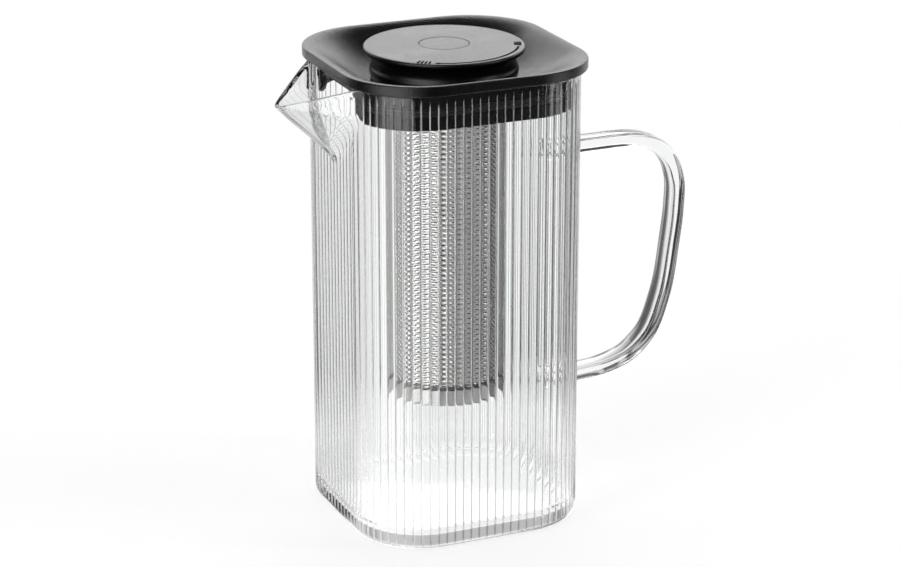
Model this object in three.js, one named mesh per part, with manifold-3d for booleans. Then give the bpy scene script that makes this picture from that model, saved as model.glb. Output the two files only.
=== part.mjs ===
// Square infuser jug of ribbed glass: a poured-spout glass body with a welded handle, a push-in lid with a
// dished top, a strainer tube that hangs in the lid, and a knob cap that locks the tube with two bayonet lugs.
// Millimetres, +Z up. The origin is the centre of the foot, the handle points to +X and the spout to -X.
import * as THREE from 'three';
import { mergeVertices } from 'three/addons/utils/BufferGeometryUtils.js';
import Module from 'manifold-3d';

const wasm = await Module();
wasm.setup();

// Clearances
const seatGap = 0.3; // between pieces that touch
const slideGap = 0.4; // round pieces that lift or turn
const plugGap = 0.7; // between the lid's plug and the glass
const cutOver = 2; // how far a cutter runs past what it cuts
const mergeGap = 1e-4; // vertices closer than this are one

// Glass body
const bodyWidth = 100; // across the flats, over the flute crests
const bodyCorner = 30; // plan radius of the corners
const bodyWall = 3;
const rimHeight = 196;
const floorThick = 5;
const footRound = 4.5; // radius where wall and foot meet
const wellRound = 6; // radius inside, where wall and floor meet
const rimRound = 0.9;
const fluteCount = 96;
const fluteDepth = 0.8;

// Pulled spout
const spoutReach = 25; // tip beyond the body's face
const spoutHalfWidth = 25; // half its width at the rim
const spoutDrop = 11; // tip below the rim
const spoutLength = 39; // how far below the rim the wall starts to lean out
const spoutNose = 2.6; // roundness of the keel
const spoutBlend = 4; // roundness where spout and wall meet
const spoutInset = 1.8; // extra wall along the leaning sides
const keelPowerShare = 1.7;
const keelBellyShare = 0.8;

// Glass handle, as a loop in the plane of the spout
const handleReach = 59.1; // centre line beyond the body's face
const handleTop = 153;
const handleFoot = 49.8;
const handleThick = 6.4;
const handleBreadth = 10.8;
const weldSwell = 1.6; // how much thicker the strap is at its two welds
const weldLength = 8;
const strapFullnessShare = 0.62; // 1 is an oval section, lower is squarer

// Lid plate
const lidOverhang = 2.8; // beyond the body, all round
const rimGap = 0.5; // between the glass rim and the lid
const lidEdge = 4.3; // thickness of the lid's edge
const lidEdgeRound = 0.7;
const lidDish = 12; // how far the top dips from its edge to the knob
const plateThick = 2.2;

// Lid plug
const plugDepth = 15; // below the rim
const plugWall = 2.4;
const plugWeb = 1.6;
const plugRound = 1.2;
const collarDepth = 3.6; // guide ring below the web
const collarWall = 2;
const notchHalfFoot = 25; // the pouring notch, at the plug's lower edge
const notchHalfTop = 16;
const notchHeight = 9.5;
const sealBand = 3; // height of the silicone strip round the plug
const sealDepth = 1.2; // groove behind it
const sealProud = 0.4;
const sealLift = 6; // strip above the plug's lower edge

// Infuser
const tubeRadius = 25;
const tubeWall = 0.5;
const infuserFloor = 52; // underside above the foot
const baseBand = 8; // plain band below the strainer
const baseWall = 0.9;
const baseRound = 3;
const baseLip = 3; // lip that enters the tube
const sleeveWall = 1.2;
const sleeveDepth = 7;
const flangeWidth = 3; // that rests on the lid's ledge
const flangeThick = 1.6;
const collarLip = 2.3; // how far the lip over the tube stands in from the sleeve

// Knob cap
const knobLift = 0.8; // knob above the infuser's flange
const neckWall = 2.2;
const footTuck = 0.5;
const beadProud = 1.1;
const beadHeight = 4;
const neckHeight = 11.6;
const flareReach = 2.7;
const flareHeight = 3.8;
const knobWeb = 2;
const coverThick = 2.7;
const coverRound = 0.8;
const coverBevel = 1.3;
const centreRadius = 10.4;
const centreThick = 1.3;
const centreLedge = 2;
const wellRadius = 6;
const wellDepth = 4;
const spigotWall = 1.8;
const spigotDepth = 8; // below the knob
const bossRadius = 5;
const lugReach = 1.6;
const lugHeight = 2;
const lugAngle = Math.PI / 7;
const slotAngle = Math.PI / 5.5;
const capSealWidth = 2;
const capSealHeight = 1.8;
const screwRadius = 1.8;
const screwHeadRadius = 3.6;
const screwHeadHeight = 1.9;
const screwLength = 8;
const washerRadius = 4.8;
const washerThick = 0.6;

// Facets
const roundSteps = 40;
const fineSteps = 56;
const smallSteps = 24;
const arcSteps = 3;
const flatSteps = 2;
const cornerSteps = 8;
const dishSteps = 6;
const spoutSteps = 11;
const handleSteps = 34;
const strapSides = 12;

// Places that follow from the sizes above
const bodyHalf = bodyWidth / 2;
const core = bodyHalf - bodyCorner; // half side of the square that every plan outline runs round
const wellCorner = bodyCorner - bodyWall;
const spoutStart = rimHeight - spoutLength;
const tipHeight = rimHeight - spoutDrop;
const lidTop = rimHeight + rimGap + lidEdge;
const dishFloor = lidTop - lidDish;
const plateUnder = dishFloor - plateThick;
const ledgeTop = plateUnder - seatGap;
const flangeUnder = ledgeTop + seatGap;
const flangeTop = flangeUnder + flangeThick;
const knobFloor = flangeTop + knobLift;
const plugCorner = wellCorner - plugGap;
const plugFoot = rimHeight - plugDepth;
const sleeveInner = tubeRadius + seatGap;
const sleeveRadius = sleeveInner + sleeveWall;
const collarBore = sleeveRadius + slideGap;
const flangeRadius = sleeveRadius + flangeWidth;
const plateHole = flangeRadius + slideGap;
const neckRadius = plateHole;
const coverRadius = neckRadius + flareReach + coverRound;
const lipBore = sleeveInner - collarLip;
const spigotRadius = lipBore - slideGap;
const lugRadius = spigotRadius + lugReach;
const tubeBore = tubeRadius - tubeWall;
const tubeTop = flangeUnder - seatGap;
const lidReach = bodyCorner + lidOverhang - lidEdgeRound; // where the dish starts, out from the core square
const dishReach = core + lidReach - neckRadius - beadProud; // from there to the knob
const sealMiddle = (lipBore + neckRadius - footTuck) / 2;
const coverFloor = neckHeight + seatGap; // above the knob's floor
const wellFloor = neckHeight - wellDepth;

const glass = { color: 0xe4ece9, roughness: 0.04, metalness: 0, transparent: true, opacity: 0.4 };
const blackPlastic = { color: 0x2b2b2d, roughness: 0.55, metalness: 0 };
const silicone = { color: 0x1c1c1e, roughness: 0.7, metalness: 0 };
const steel = { color: 0xc9cac8, roughness: 0.28, metalness: 1 };

/** One closed body with merged corners and its faces turned out. */
function closedBody(geometry) {
  const bare = geometry.index ? geometry.toNonIndexed() : geometry.clone();
  for (const name of Object.keys(bare.attributes)) if (name !== 'position') bare.deleteAttribute(name);
  const body = mergeVertices(bare, mergeGap);
  const { array } = body.index;
  const kept = [];
  let volume = 0;
  const [a, b, c] = [new THREE.Vector3(), new THREE.Vector3(), new THREE.Vector3()];
  for (let i = 0; i < array.length; i += 3) {
    const [p, q, r] = [array[i], array[i + 1], array[i + 2]];
    if (p === q || q === r || r === p) continue;
    kept.push(p, q, r);
    a.fromBufferAttribute(body.attributes.position, p);
    b.fromBufferAttribute(body.attributes.position, q);
    c.fromBufferAttribute(body.attributes.position, r);
    volume += a.dot(b.cross(c));
  }
  body.setIndex(volume < 0 ? kept.reverse() : kept);
  return body;
}

/** The solid of a closed body, for joins and cuts. */
function toSolid(geometry) {
  const body = closedBody(geometry);
  const mesh = new wasm.Mesh({
    numProp: 3,
    vertProperties: new Float32Array(body.attributes.position.array),
    triVerts: new Uint32Array(body.index.array),
  });
  return new wasm.Manifold(mesh);
}

/** The geometry of a joined or cut solid. */
function toGeometry(solid) {
  const { vertProperties, triVerts } = solid.getMesh();
  const geometry = new THREE.BufferGeometry();
  geometry.setAttribute('position', new THREE.BufferAttribute(vertProperties, 3));
  geometry.setIndex(new THREE.BufferAttribute(triVerts, 1));
  return geometry;
}

/** A named mesh with a material of its own. */
function piece(name, geometry, look, height = 0) {
  const body = closedBody(geometry);
  body.computeVertexNormals();
  const mesh = new THREE.Mesh(body, new THREE.MeshStandardMaterial(look));
  mesh.name = name;
  mesh.position.z = height;
  return mesh;
}

/** Geometry from points and triangles. */
function fromTriangles(points, triangles) {
  const geometry = new THREE.BufferGeometry().setFromPoints(points);
  geometry.setIndex(triangles);
  return geometry;
}

/** A round body: the profile's points are [radius, height], turned about Z. */
function revolve(profile, steps) {
  const points = profile.map(([radius, height]) => new THREE.Vector2(radius, height));
  if (points[0].x > 0 || points[points.length - 1].x > 0) points.push(points[0].clone());
  return new THREE.LatheGeometry(points, steps).rotateX(Math.PI / 2);
}

/** Points of a quarter round about a centre, from one angle to another, as [radius, height]. */
function quarter(radius, height, round, from, to) {
  return Array.from({ length: arcSteps + 1 }, (_, k) => {
    const angle = from + ((to - from) * k) / arcSteps;
    return [radius + round * Math.cos(angle), height + round * Math.sin(angle)];
  });
}

/** Where a share of the way round the plan lies: a point of the core square and the way out from it. */
function planSpot(share) {
  const arc = (Math.PI / 2) * bodyCorner;
  const quarterLength = 2 * core + arc;
  const whole = share * 4;
  const quadrant = Math.floor(whole);
  const run = (whole - quadrant) * quarterLength;
  const angle = Math.min(Math.max(run - core, 0), arc) / bodyCorner;
  const at = new THREE.Vector2(core - Math.max(run - core - arc, 0), Math.min(run, core));
  const out = new THREE.Vector2(Math.cos(angle), Math.sin(angle));
  const turn = (Math.PI / 2) * quadrant;
  const middle = new THREE.Vector2();
  return { at: at.rotateAround(middle, turn), out: out.rotateAround(middle, turn) };
}

/** A point of the plan outline that lies at a distance from the core square. */
function planPoint(share, distance, height) {
  const { at, out } = planSpot(share);
  return new THREE.Vector3(at.x + out.x * distance, at.y + out.y * distance, height);
}

/** Triangles between two neighbouring columns, each a list of { id, level } with rising levels. */
function zip(triangles, left, right) {
  let [i, j] = [0, 0];
  while (i < left.length - 1 || j < right.length - 1) {
    const leftNext = j === right.length - 1 || (i < left.length - 1 && left[i + 1].level <= right[j + 1].level);
    triangles.push(left[i].id, right[j].id, leftNext ? left[i + 1].id : right[j + 1].id);
    if (leftNext) i += 1;
    else j += 1;
  }
}

/** A value that leaves zero smoothly. */
function easedOver(value, blend) {
  if (value <= -blend) return 0;
  return value >= blend ? value : (value + blend) ** 2 / (4 * blend);
}

/** How far the spout's keel stands out at a height. */
function keelAt(height) {
  const rise = Math.min(Math.max((height - spoutStart) / (tipHeight - spoutStart), 0), 1);
  return spoutReach * rise ** keelPowerShare * (1 + keelBellyShare * (1 - rise));
}

/** How far the spout pulls the wall out at a place across the face. */
function spoutAt(across, height, inset) {
  const aside = (Math.hypot(across, spoutNose) - spoutNose) * (spoutReach / spoutHalfWidth);
  return easedOver(keelAt(height) - inset - aside, spoutBlend);
}

/** Height of the rim, which dips toward the spout's tip. */
function rimAt(across) {
  return rimHeight - (spoutDrop * spoutAt(across, tipHeight, 0)) / spoutReach;
}

/** Whether the spout touches the column at a share of the way round. */
function inSpout(share) {
  const spot = planPoint(share, bodyCorner, 0);
  return spot.x < 0 && spoutAt(spot.y, tipHeight, 0) > 0;
}

/** A wall point with the spout's pull. */
function wallPoint(share, distance, height, inset) {
  const spot = planPoint(share, distance, height);
  if (spot.x < 0) spot.x -= spoutAt(planPoint(share, bodyCorner, 0).y, height, inset);
  return spot;
}

/** Heights of one wall column from bottom to rim, with the levels that neighbours share. */
function wallHeights(share, bottom) {
  const top = rimAt(inSpout(share) ? planPoint(share, bodyCorner, 0).y : bodyWidth) - rimRound;
  const heights = [{ height: bottom, level: 0 }];
  const steps = inSpout(share) ? spoutSteps : 0;
  for (let k = 0; k <= steps; k += 1) {
    const part = steps ? k / steps : 1;
    heights.push({ height: spoutStart + (top - spoutStart) * part, level: 1 + part });
  }
  return heights;
}

/** The ribbed body: fluted outside, smooth inside, its wall pulled out into the spout. */
function glassBody() {
  const points = [];
  const triangles = [];
  const add = (point, level) => ({ id: points.push(point) - 1, level });
  const columns = 2 * fluteCount;
  const soleCentre = add(new THREE.Vector3(0, 0, 0), -arcSteps - 2);
  const wellCentre = add(new THREE.Vector3(0, 0, floorThick), 2 + arcSteps + 2);
  const outer = [];
  const inner = [];
  for (let column = 0; column < columns; column += 1) {
    const share = column / columns;
    const root = column % 2 ? fluteDepth : 0;
    const line = [soleCentre];
    quarter(bodyCorner - footRound, footRound, footRound, -Math.PI / 2, 0).slice(0, -1).forEach(([distance, height], k) => {
      line.push(add(planPoint(share, distance - (root * k) / arcSteps, height), k - arcSteps - 1));
    });
    for (const { height, level } of wallHeights(share, footRound)) {
      line.push(add(wallPoint(share, bodyCorner - root, height, 0), level));
    }
    const across = inSpout(share) ? planPoint(share, bodyCorner, 0).y : bodyWidth;
    const crest = add(wallPoint(share, bodyCorner - bodyWall / 2, rimAt(across), spoutInset / 2), 3);
    line.push(crest);
    outer.push(line);
    if (root) continue;
    const well = [{ id: crest.id, level: 0 }];
    for (const { height, level } of wallHeights(share, floorThick + wellRound).reverse()) {
      well.push(add(wallPoint(share, wellCorner, height, spoutInset), 3 - level));
    }
    quarter(wellCorner - wellRound, floorThick + wellRound, wellRound, 0, -Math.PI / 2).slice(1)
      .forEach(([distance, height], k) => well.push(add(planPoint(share, distance, height), 4 + k)));
    well.push({ id: wellCentre.id, level: 5 + arcSteps });
    inner.push(well);
  }
  outer.forEach((line, k) => zip(triangles, line, outer[(k + 1) % columns]));
  inner.forEach((line, k) => zip(triangles, line, inner[(k + 1) % fluteCount]));
  for (let k = 0; k < columns; k += 2) {
    const crests = [k, k + 1, (k + 2) % columns].map((column) => outer[column][outer[column].length - 1].id);
    triangles.push(crests[0], crests[1], crests[2]);
  }
  return fromTriangles(points, triangles);
}

/** A body through rings of equally many points: open ends are capped, or the last ring meets the first. */
function loft(rings, looped) {
  const size = rings[0].length;
  const points = rings.flat();
  const triangles = [];
  const last = looped ? rings.length : rings.length - 1;
  for (let ring = 0; ring < last; ring += 1) {
    const next = (ring + 1) % rings.length;
    for (let k = 0; k < size; k += 1) {
      const [a, b] = [ring * size + k, ring * size + ((k + 1) % size)];
      const [c, d] = [next * size + k, next * size + ((k + 1) % size)];
      triangles.push(a, b, c, c, b, d);
    }
  }
  if (!looped) {
    for (const [start, flip] of [[0, true], [(rings.length - 1) * size, false]]) {
      for (let k = 1; k < size - 1; k += 1) {
        triangles.push(start, start + (flip ? k + 1 : k), start + (flip ? k : k + 1));
      }
    }
  }
  return fromTriangles(points, triangles);
}

// The handle's centre line from its upper weld to its lower one: shares of the reach and of the height
const handlePathShares = [
  [0, 0.994], [0.17, 0.999], [0.34, 1.0], [0.5, 1.0], [0.644, 0.994], [0.8, 0.966], [0.925, 0.903], [0.99, 0.806],
  [0.993, 0.68], [0.963, 0.524], [0.892, 0.291], [0.768, 0.126], [0.619, 0.05], [0.44, 0.013], [0.236, 0], [0, -0.004],
];

/** The solid glass strap of the handle, a little thicker at its welds. */
function glassHandle() {
  const start = bodyHalf + seatGap;
  const height = handleTop - handleFoot;
  const path = new THREE.CatmullRomCurve3(handlePathShares.map(([reach, rise]) => new THREE.Vector3(
    start + (handleReach - seatGap) * reach, 0, handleFoot + height * rise,
  )));
  const length = path.getLength();
  const rings = [];
  for (let step = 0; step <= handleSteps; step += 1) {
    const centre = path.getPointAt(step / handleSteps);
    const along = step === 0 || step === handleSteps
      ? new THREE.Vector3(step ? -1 : 1, 0, 0) : path.getTangentAt(step / handleSteps);
    const outward = new THREE.Vector3(-along.z, 0, along.x);
    const fromWeld = (Math.min(step, handleSteps - step) / handleSteps) * length;
    const swell = weldSwell * Math.max(0, 1 - fromWeld / weldLength) ** 2;
    rings.push(Array.from({ length: strapSides }, (_, k) => {
      const angle = (2 * Math.PI * (k + 0.5)) / strapSides;
      const [c, s] = [Math.cos(angle), Math.sin(angle)];
      const thick = Math.sign(c) * Math.abs(c) ** strapFullnessShare * (handleThick + swell) / 2;
      const broad = Math.sign(s) * Math.abs(s) ** strapFullnessShare * (handleBreadth + swell) / 2;
      return centre.clone().addScaledVector(outward, thick).setY(broad);
    }));
  }
  return loft(rings, false);
}

/** How deep the dish is at a share of the way from the lid's edge to the knob. */
function dishAt(share) {
  return lidDish * share * share * (3 - 2 * share);
}

/** A place between a plan outline and the circle round the knob, at a share of the way in. */
function dishSpot(share, distance, part, height) {
  const edge = planPoint(share, distance, 0);
  const circle = edge.clone().setLength(neckRadius + beadProud);
  return edge.lerp(circle, part).setZ(height);
}

/** A point on the circle at the angle of a plan share. */
function circleSpot(share, radius, height) {
  return planPoint(share, bodyCorner, 0).setLength(radius).setZ(height);
}

/** Shares of the way round at which plan rings have a section: few on the flats, more round the corners. */
function planShares() {
  const arc = (Math.PI / 2) * bodyCorner;
  const flat = Array.from({ length: flatSteps }, (_, k) => (core * k) / flatSteps);
  const corner = Array.from({ length: cornerSteps }, (_, k) => core + (arc * k) / cornerSteps);
  const runs = [...flat, ...corner, ...flat.map((run) => core + arc + run)];
  return [0, 1, 2, 3].flatMap((quadrant) => runs.map((run) => (quadrant + run / (2 * core + arc)) / 4));
}

/** A ring-shaped body whose section follows the plan: makeSection gives the section's points at a share. */
function planRing(makeSection) {
  return loft(planShares().map(makeSection), true);
}

/** Height of the plate's underside at one of the dish's steps: flat over the rim, then parallel to the top. */
function underStep(step) {
  return Math.min(lidTop - dishAt(step / dishSteps) - plateThick, rimHeight + rimGap);
}

/** Height of the plug's web under the plate, at a share of the way from the dish's edge to the knob. */
function webTop(part) {
  const step = Math.min(Math.floor(part * dishSteps), dishSteps - 1);
  return THREE.MathUtils.lerp(underStep(step), underStep(step + 1), part * dishSteps - step) - seatGap;
}

/** The lid's dished top plate, open in the middle for the infuser. */
function lidPlate() {
  return planRing((share) => {
    const edge = bodyCorner + lidOverhang;
    const top = [];
    const bottom = [];
    for (let k = 0; k <= dishSteps; k += 1) {
      const part = k / dishSteps;
      top.push(dishSpot(share, lidReach, part, lidTop - dishAt(part)));
      bottom.push(dishSpot(share, lidReach, part, underStep(k)));
    }
    return [
      planPoint(share, edge, rimHeight + rimGap + lidEdgeRound),
      planPoint(share, edge, lidTop - lidEdgeRound),
      ...top,
      circleSpot(share, plateHole, dishFloor),
      circleSpot(share, plateHole, plateUnder),
      ...bottom.reverse(),
    ];
  });
}

/** A cutter for the pouring notch in the plug's wall. */
function notchCutter() {
  const outline = new THREE.Shape([
    new THREE.Vector2(-notchHalfFoot - cutOver, -cutOver),
    new THREE.Vector2(notchHalfFoot + cutOver, -cutOver),
    new THREE.Vector2(notchHalfFoot, 0),
    new THREE.Vector2(notchHalfTop, notchHeight),
    new THREE.Vector2(-notchHalfTop, notchHeight),
    new THREE.Vector2(-notchHalfFoot, 0),
  ]);
  const depth = plugWall + seatGap + cutOver;
  const cutter = new THREE.ExtrudeGeometry(outline, { depth, bevelEnabled: false });
  cutter.rotateX(Math.PI / 2).rotateZ(Math.PI / 2);
  return cutter.translate(-core - plugCorner - cutOver, 0, plugFoot);
}

/** The plug under the lid: a rounded-square skirt on a dished web, with a ledge and guide for the infuser. */
function lidInsert() {
  const inner = plugCorner - plugWall;
  const skirtPart = (lidReach - plugCorner) / dishReach;
  const grooveFoot = plugFoot + sealLift - seatGap;
  const grooveTop = plugFoot + sealLift + sealBand + seatGap;
  const parts = Array.from({ length: dishSteps + 1 }, (_, k) => k / dishSteps).filter((part) => part > skirtPart);
  const collarFoot = ledgeTop - plugWeb - collarDepth;
  const ring = planRing((share) => {
    const top = parts.map((part) => dishSpot(share, lidReach, part, webTop(part)));
    const under = parts.map((part) => dishSpot(share, lidReach, part, webTop(part) - plugWeb));
    return [
      planPoint(share, inner, plugFoot),
      planPoint(share, plugCorner - plugRound, plugFoot),
      planPoint(share, plugCorner, plugFoot + plugRound),
      planPoint(share, plugCorner, grooveFoot),
      planPoint(share, plugCorner - sealDepth, grooveFoot),
      planPoint(share, plugCorner - sealDepth, grooveTop),
      planPoint(share, plugCorner, grooveTop),
      planPoint(share, plugCorner, webTop(skirtPart)),
      ...top,
      circleSpot(share, collarBore, ledgeTop),
      circleSpot(share, collarBore, collarFoot),
      circleSpot(share, collarBore + collarWall, collarFoot),
      circleSpot(share, collarBore + collarWall, ledgeTop - plugWeb),
      ...under.reverse(),
      planPoint(share, inner, webTop(skirtPart) - plugWeb),
    ];
  });
  return toGeometry(toSolid(ring).subtract(toSolid(notchCutter())));
}

/** The silicone strip round the plug, which stops short of the pouring notch on both sides. */
function lidGasket() {
  const foot = plugFoot + sealLift;
  const inner = plugCorner - sealDepth + seatGap;
  const outer = plugCorner + sealProud;
  const stop = notchHalfFoot / (8 * core + 2 * Math.PI * bodyCorner);
  const turned = planShares().map((share) => (share + 0.5) % 1).sort((a, b) => a - b);
  const shares = [stop, ...turned.filter((share) => share > stop && share < 1 - stop), 1 - stop];
  return loft(shares.map((share) => (share + 0.5) % 1).map((share) => [
    planPoint(share, inner, foot),
    planPoint(share, outer - seatGap, foot),
    planPoint(share, outer, foot + sealBand / 2),
    planPoint(share, outer - seatGap, foot + sealBand),
    planPoint(share, inner, foot + sealBand),
  ]), false);
}

/** The strainer tube's plain bottom cup, with a lip that enters the tube. */
function infuserBase() {
  const lip = tubeBore - seatGap;
  return revolve([
    [0, 0],
    ...quarter(tubeRadius - baseRound, baseRound, baseRound, -Math.PI / 2, 0),
    [tubeRadius, baseBand],
    [lip, baseBand],
    [lip, baseBand + baseLip],
    [lip - baseWall, baseBand + baseLip],
    [lip - baseWall, baseWall + baseRound],
    [lip - baseWall - baseRound, baseWall],
    [0, baseWall],
  ], roundSteps);
}

/** The strainer tube. */
function infuserTube() {
  const foot = infuserFloor + baseBand + seatGap;
  return revolve([[tubeBore, 0], [tubeRadius, 0], [tubeRadius, tubeTop - foot], [tubeBore, tubeTop - foot]], roundSteps);
}

/** A stretch of a flat ring, for lugs and slots. */
function ringSector(inner, outer, height, angle) {
  const shape = new THREE.Shape();
  shape.absarc(0, 0, outer, -angle / 2, angle / 2, false);
  shape.absarc(0, 0, inner, angle / 2, -angle / 2, true);
  shape.closePath();
  return new THREE.ExtrudeGeometry(shape, { depth: height, bevelEnabled: false, curveSegments: arcSteps * 2 });
}

/** The collar on top of the tube: a flange, a sleeve round the tube and a slotted lip for the cap's lugs. */
function infuserCollar() {
  const ring = revolve([
    [lipBore, 0],
    [sleeveInner, 0],
    [sleeveInner, -sleeveDepth],
    [sleeveRadius, -sleeveDepth],
    [sleeveRadius, 0],
    [flangeRadius, 0],
    [flangeRadius, flangeThick],
    [lipBore, flangeThick],
  ], roundSteps);
  const slot = ringSector(lipBore - cutOver, lugRadius + slideGap, flangeThick + 2 * cutOver, slotAngle);
  slot.translate(0, 0, -cutOver).rotateZ(Math.PI / 2);
  return toGeometry(toSolid(ring).subtract(toSolid(slot)).subtract(toSolid(slot.clone().rotateZ(Math.PI))));
}

/** The knob's neck: bead at its foot, flare under the cover, floor ring with a groove and a screw well. */
function knobBody() {
  const groove = capSealWidth / 2 + seatGap;
  const grooveTop = capSealHeight - knobLift + 2 * seatGap;
  const web = neckHeight - knobWeb;
  const floorRing = grooveTop + knobWeb / 2;
  return revolve([
    [lipBore, 0],
    [sealMiddle - groove, 0],
    [sealMiddle - groove, grooveTop],
    [sealMiddle + groove, grooveTop],
    [sealMiddle + groove, 0],
    [neckRadius - footTuck, 0],
    [neckRadius + beadProud / 2, beadHeight * 0.45],
    [neckRadius + beadProud, beadHeight],
    [neckRadius + beadProud / 2, beadHeight * 1.4],
    [neckRadius, beadHeight * 1.6],
    [neckRadius, neckHeight - flareHeight],
    [neckRadius + flareReach / 5, neckHeight - flareHeight / 2],
    [neckRadius + flareReach / 2, neckHeight - flareHeight / 5],
    [neckRadius + flareReach, neckHeight],
    [wellRadius, neckHeight],
    [wellRadius, wellFloor],
    [screwRadius + slideGap, wellFloor],
    [screwRadius + slideGap, wellFloor - knobWeb],
    [wellRadius + knobWeb, wellFloor - knobWeb],
    [wellRadius + knobWeb, web],
    [neckRadius - neckWall, web],
    [neckRadius - neckWall, floorRing],
    [lipBore, floorRing],
  ], roundSteps);
}

/** The flat disc on top of the knob, with a rounded rim and a seat for the centre plug. */
function knobCover() {
  const seat = coverThick - centreThick - seatGap;
  const hole = centreRadius + seatGap / 2;
  return revolve([
    [hole - centreLedge, 0],
    [coverRadius - coverRound, 0],
    [coverRadius, coverRound],
    [coverRadius, coverThick - coverRound],
    [coverRadius - coverRound / 2, coverThick - coverRound / 4],
    [coverRadius - coverBevel, coverThick],
    [hole, coverThick],
    [hole, seat],
    [hole - centreLedge, seat],
  ], fineSteps);
}

/** The plug in the middle of the cover. */
function centreCap() {
  return revolve([[0, 0], [centreRadius, 0], [centreRadius, centreThick], [0, centreThick]], roundSteps);
}

/** The hollow spigot under the knob, with a screw boss and two bayonet lugs. */
function capSpigot() {
  const top = wellFloor - knobWeb - seatGap;
  const hole = screwRadius + seatGap;
  const shell = revolve([
    [0, top - screwLength],
    [bossRadius, top - screwLength],
    [bossRadius, top - knobWeb],
    [spigotRadius - spigotWall, top - knobWeb],
    [spigotRadius - spigotWall, -spigotDepth],
    [spigotRadius, -spigotDepth],
    [spigotRadius, top],
    [hole, top],
    [hole, top - screwLength + knobWeb],
    [0, top - screwLength + knobWeb],
  ], roundSteps);
  const lugTop = flangeUnder - slideGap - knobFloor;
  const lug = ringSector(spigotRadius - spigotWall / 2, lugRadius, lugHeight, lugAngle);
  lug.translate(0, 0, lugTop - lugHeight);
  return toGeometry(toSolid(shell).add(toSolid(lug)).add(toSolid(lug.clone().rotateZ(Math.PI))));
}

/** The silicone ring between knob and infuser. */
function capSeal() {
  const [inner, outer] = [sealMiddle - capSealWidth / 2, sealMiddle + capSealWidth / 2];
  return revolve([[inner, 0], [outer, 0], [outer, capSealHeight], [inner, capSealHeight]], roundSteps);
}

/** The screw that holds the spigot to the knob, its head on a washer in the well. */
function capScrew() {
  return revolve([
    [0, -screwLength],
    [screwRadius, -screwLength],
    [screwRadius, 0],
    [screwHeadRadius, 0],
    [screwHeadRadius, screwHeadHeight / 2],
    [screwHeadRadius / 2, screwHeadHeight],
    [0, screwHeadHeight],
  ], smallSteps);
}

/** The washer under the screw's head. */
function capWasher() {
  const hole = screwRadius + slideGap;
  return revolve([[hole, 0], [washerRadius, 0], [washerRadius, washerThick], [hole, washerThick]], smallSteps);
}

const jug = new THREE.Group();
jug.add(piece('glass_body', glassBody(), glass), piece('glass_handle', glassHandle(), glass));

const lid = new THREE.Group();
lid.add(
  piece('lid_plate', lidPlate(), blackPlastic),
  piece('lid_insert', lidInsert(), blackPlastic),
  piece('lid_gasket', lidGasket(), silicone),
);

const infuser = new THREE.Group();
infuser.position.z = infuserFloor;
infuser.add(
  piece('infuser_base', infuserBase(), steel),
  piece('infuser_tube', infuserTube(), steel, baseBand + seatGap),
  piece('infuser_collar', infuserCollar(), blackPlastic, flangeUnder - infuserFloor),
);

const cap = new THREE.Group();
cap.position.z = knobFloor;
cap.add(
  piece('knob_body', knobBody(), blackPlastic),
  piece('knob_cover', knobCover(), blackPlastic, coverFloor),
  piece('centre_cap', centreCap(), blackPlastic, coverFloor + coverThick - centreThick),
  piece('cap_spigot', capSpigot(), blackPlastic),
  piece('cap_seal', capSeal(), silicone, seatGap - knobLift),
  piece('cap_washer', capWasher(), steel, wellFloor + seatGap),
  piece('cap_screw', capScrew(), steel, wellFloor + washerThick + 2 * seatGap),
);

const model = new THREE.Group();
model.add(jug, lid, infuser, cap);

export default model;
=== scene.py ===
"""Looks of the square infuser jug: ribbed clear glass, a matte black lid with its glossy plug, a perforated steel
strainer and a round knob cap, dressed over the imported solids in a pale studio.

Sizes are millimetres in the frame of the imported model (+Z up, handle to +X, spout to -X) until a mesh is made.
"""

from __future__ import annotations

import logging
import math
from dataclasses import dataclass
from enum import Enum

import bpy
import numpy as np
from mathutils import Matrix, Vector

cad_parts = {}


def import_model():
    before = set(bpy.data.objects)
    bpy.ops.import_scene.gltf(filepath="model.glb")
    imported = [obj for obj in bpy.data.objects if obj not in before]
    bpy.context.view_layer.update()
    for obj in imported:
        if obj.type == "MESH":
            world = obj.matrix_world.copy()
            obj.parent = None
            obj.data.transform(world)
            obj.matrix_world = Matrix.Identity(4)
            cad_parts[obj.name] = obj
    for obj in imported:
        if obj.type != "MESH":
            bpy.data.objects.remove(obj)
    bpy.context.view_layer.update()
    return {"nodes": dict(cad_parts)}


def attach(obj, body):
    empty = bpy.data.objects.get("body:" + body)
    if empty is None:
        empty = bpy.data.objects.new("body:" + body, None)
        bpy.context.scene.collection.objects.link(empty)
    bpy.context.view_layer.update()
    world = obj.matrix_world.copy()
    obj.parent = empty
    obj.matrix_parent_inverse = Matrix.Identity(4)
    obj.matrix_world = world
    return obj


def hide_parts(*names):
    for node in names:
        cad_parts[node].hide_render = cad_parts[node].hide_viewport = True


LOG = logging.getLogger("infuser_jug")
MM = 0.001
TURN = 2.0 * math.pi
FAR_ASIDE = 1e3
GROOVE = "groove"
CLEAR = "clear"
WHITE = (1.0, 1.0, 1.0)
DUST = (0.2, 0.195, 0.19)

Array = np.ndarray
Pair = tuple[float, float]
Triple = tuple[float, float, float]
Material = bpy.types.Material
Socket = bpy.types.NodeSocket
Tree = bpy.types.NodeTree


class Body(Enum):
    """The moving bodies that pieces ride on."""

    JUG = "jug"
    LID = "lid"
    INFUSER = "infuser"
    CAP = "cap"


class Slot(Enum):
    """The record's material slots, one named for each new piece; its material comes from its own Finish."""

    CLEAR_GLASS = "clear_glass"
    LID_PLASTIC = "lid_plastic"
    PLUG_PLASTIC = "plug_plastic"
    SILICONE = "silicone"
    STEEL = "steel"


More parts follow.
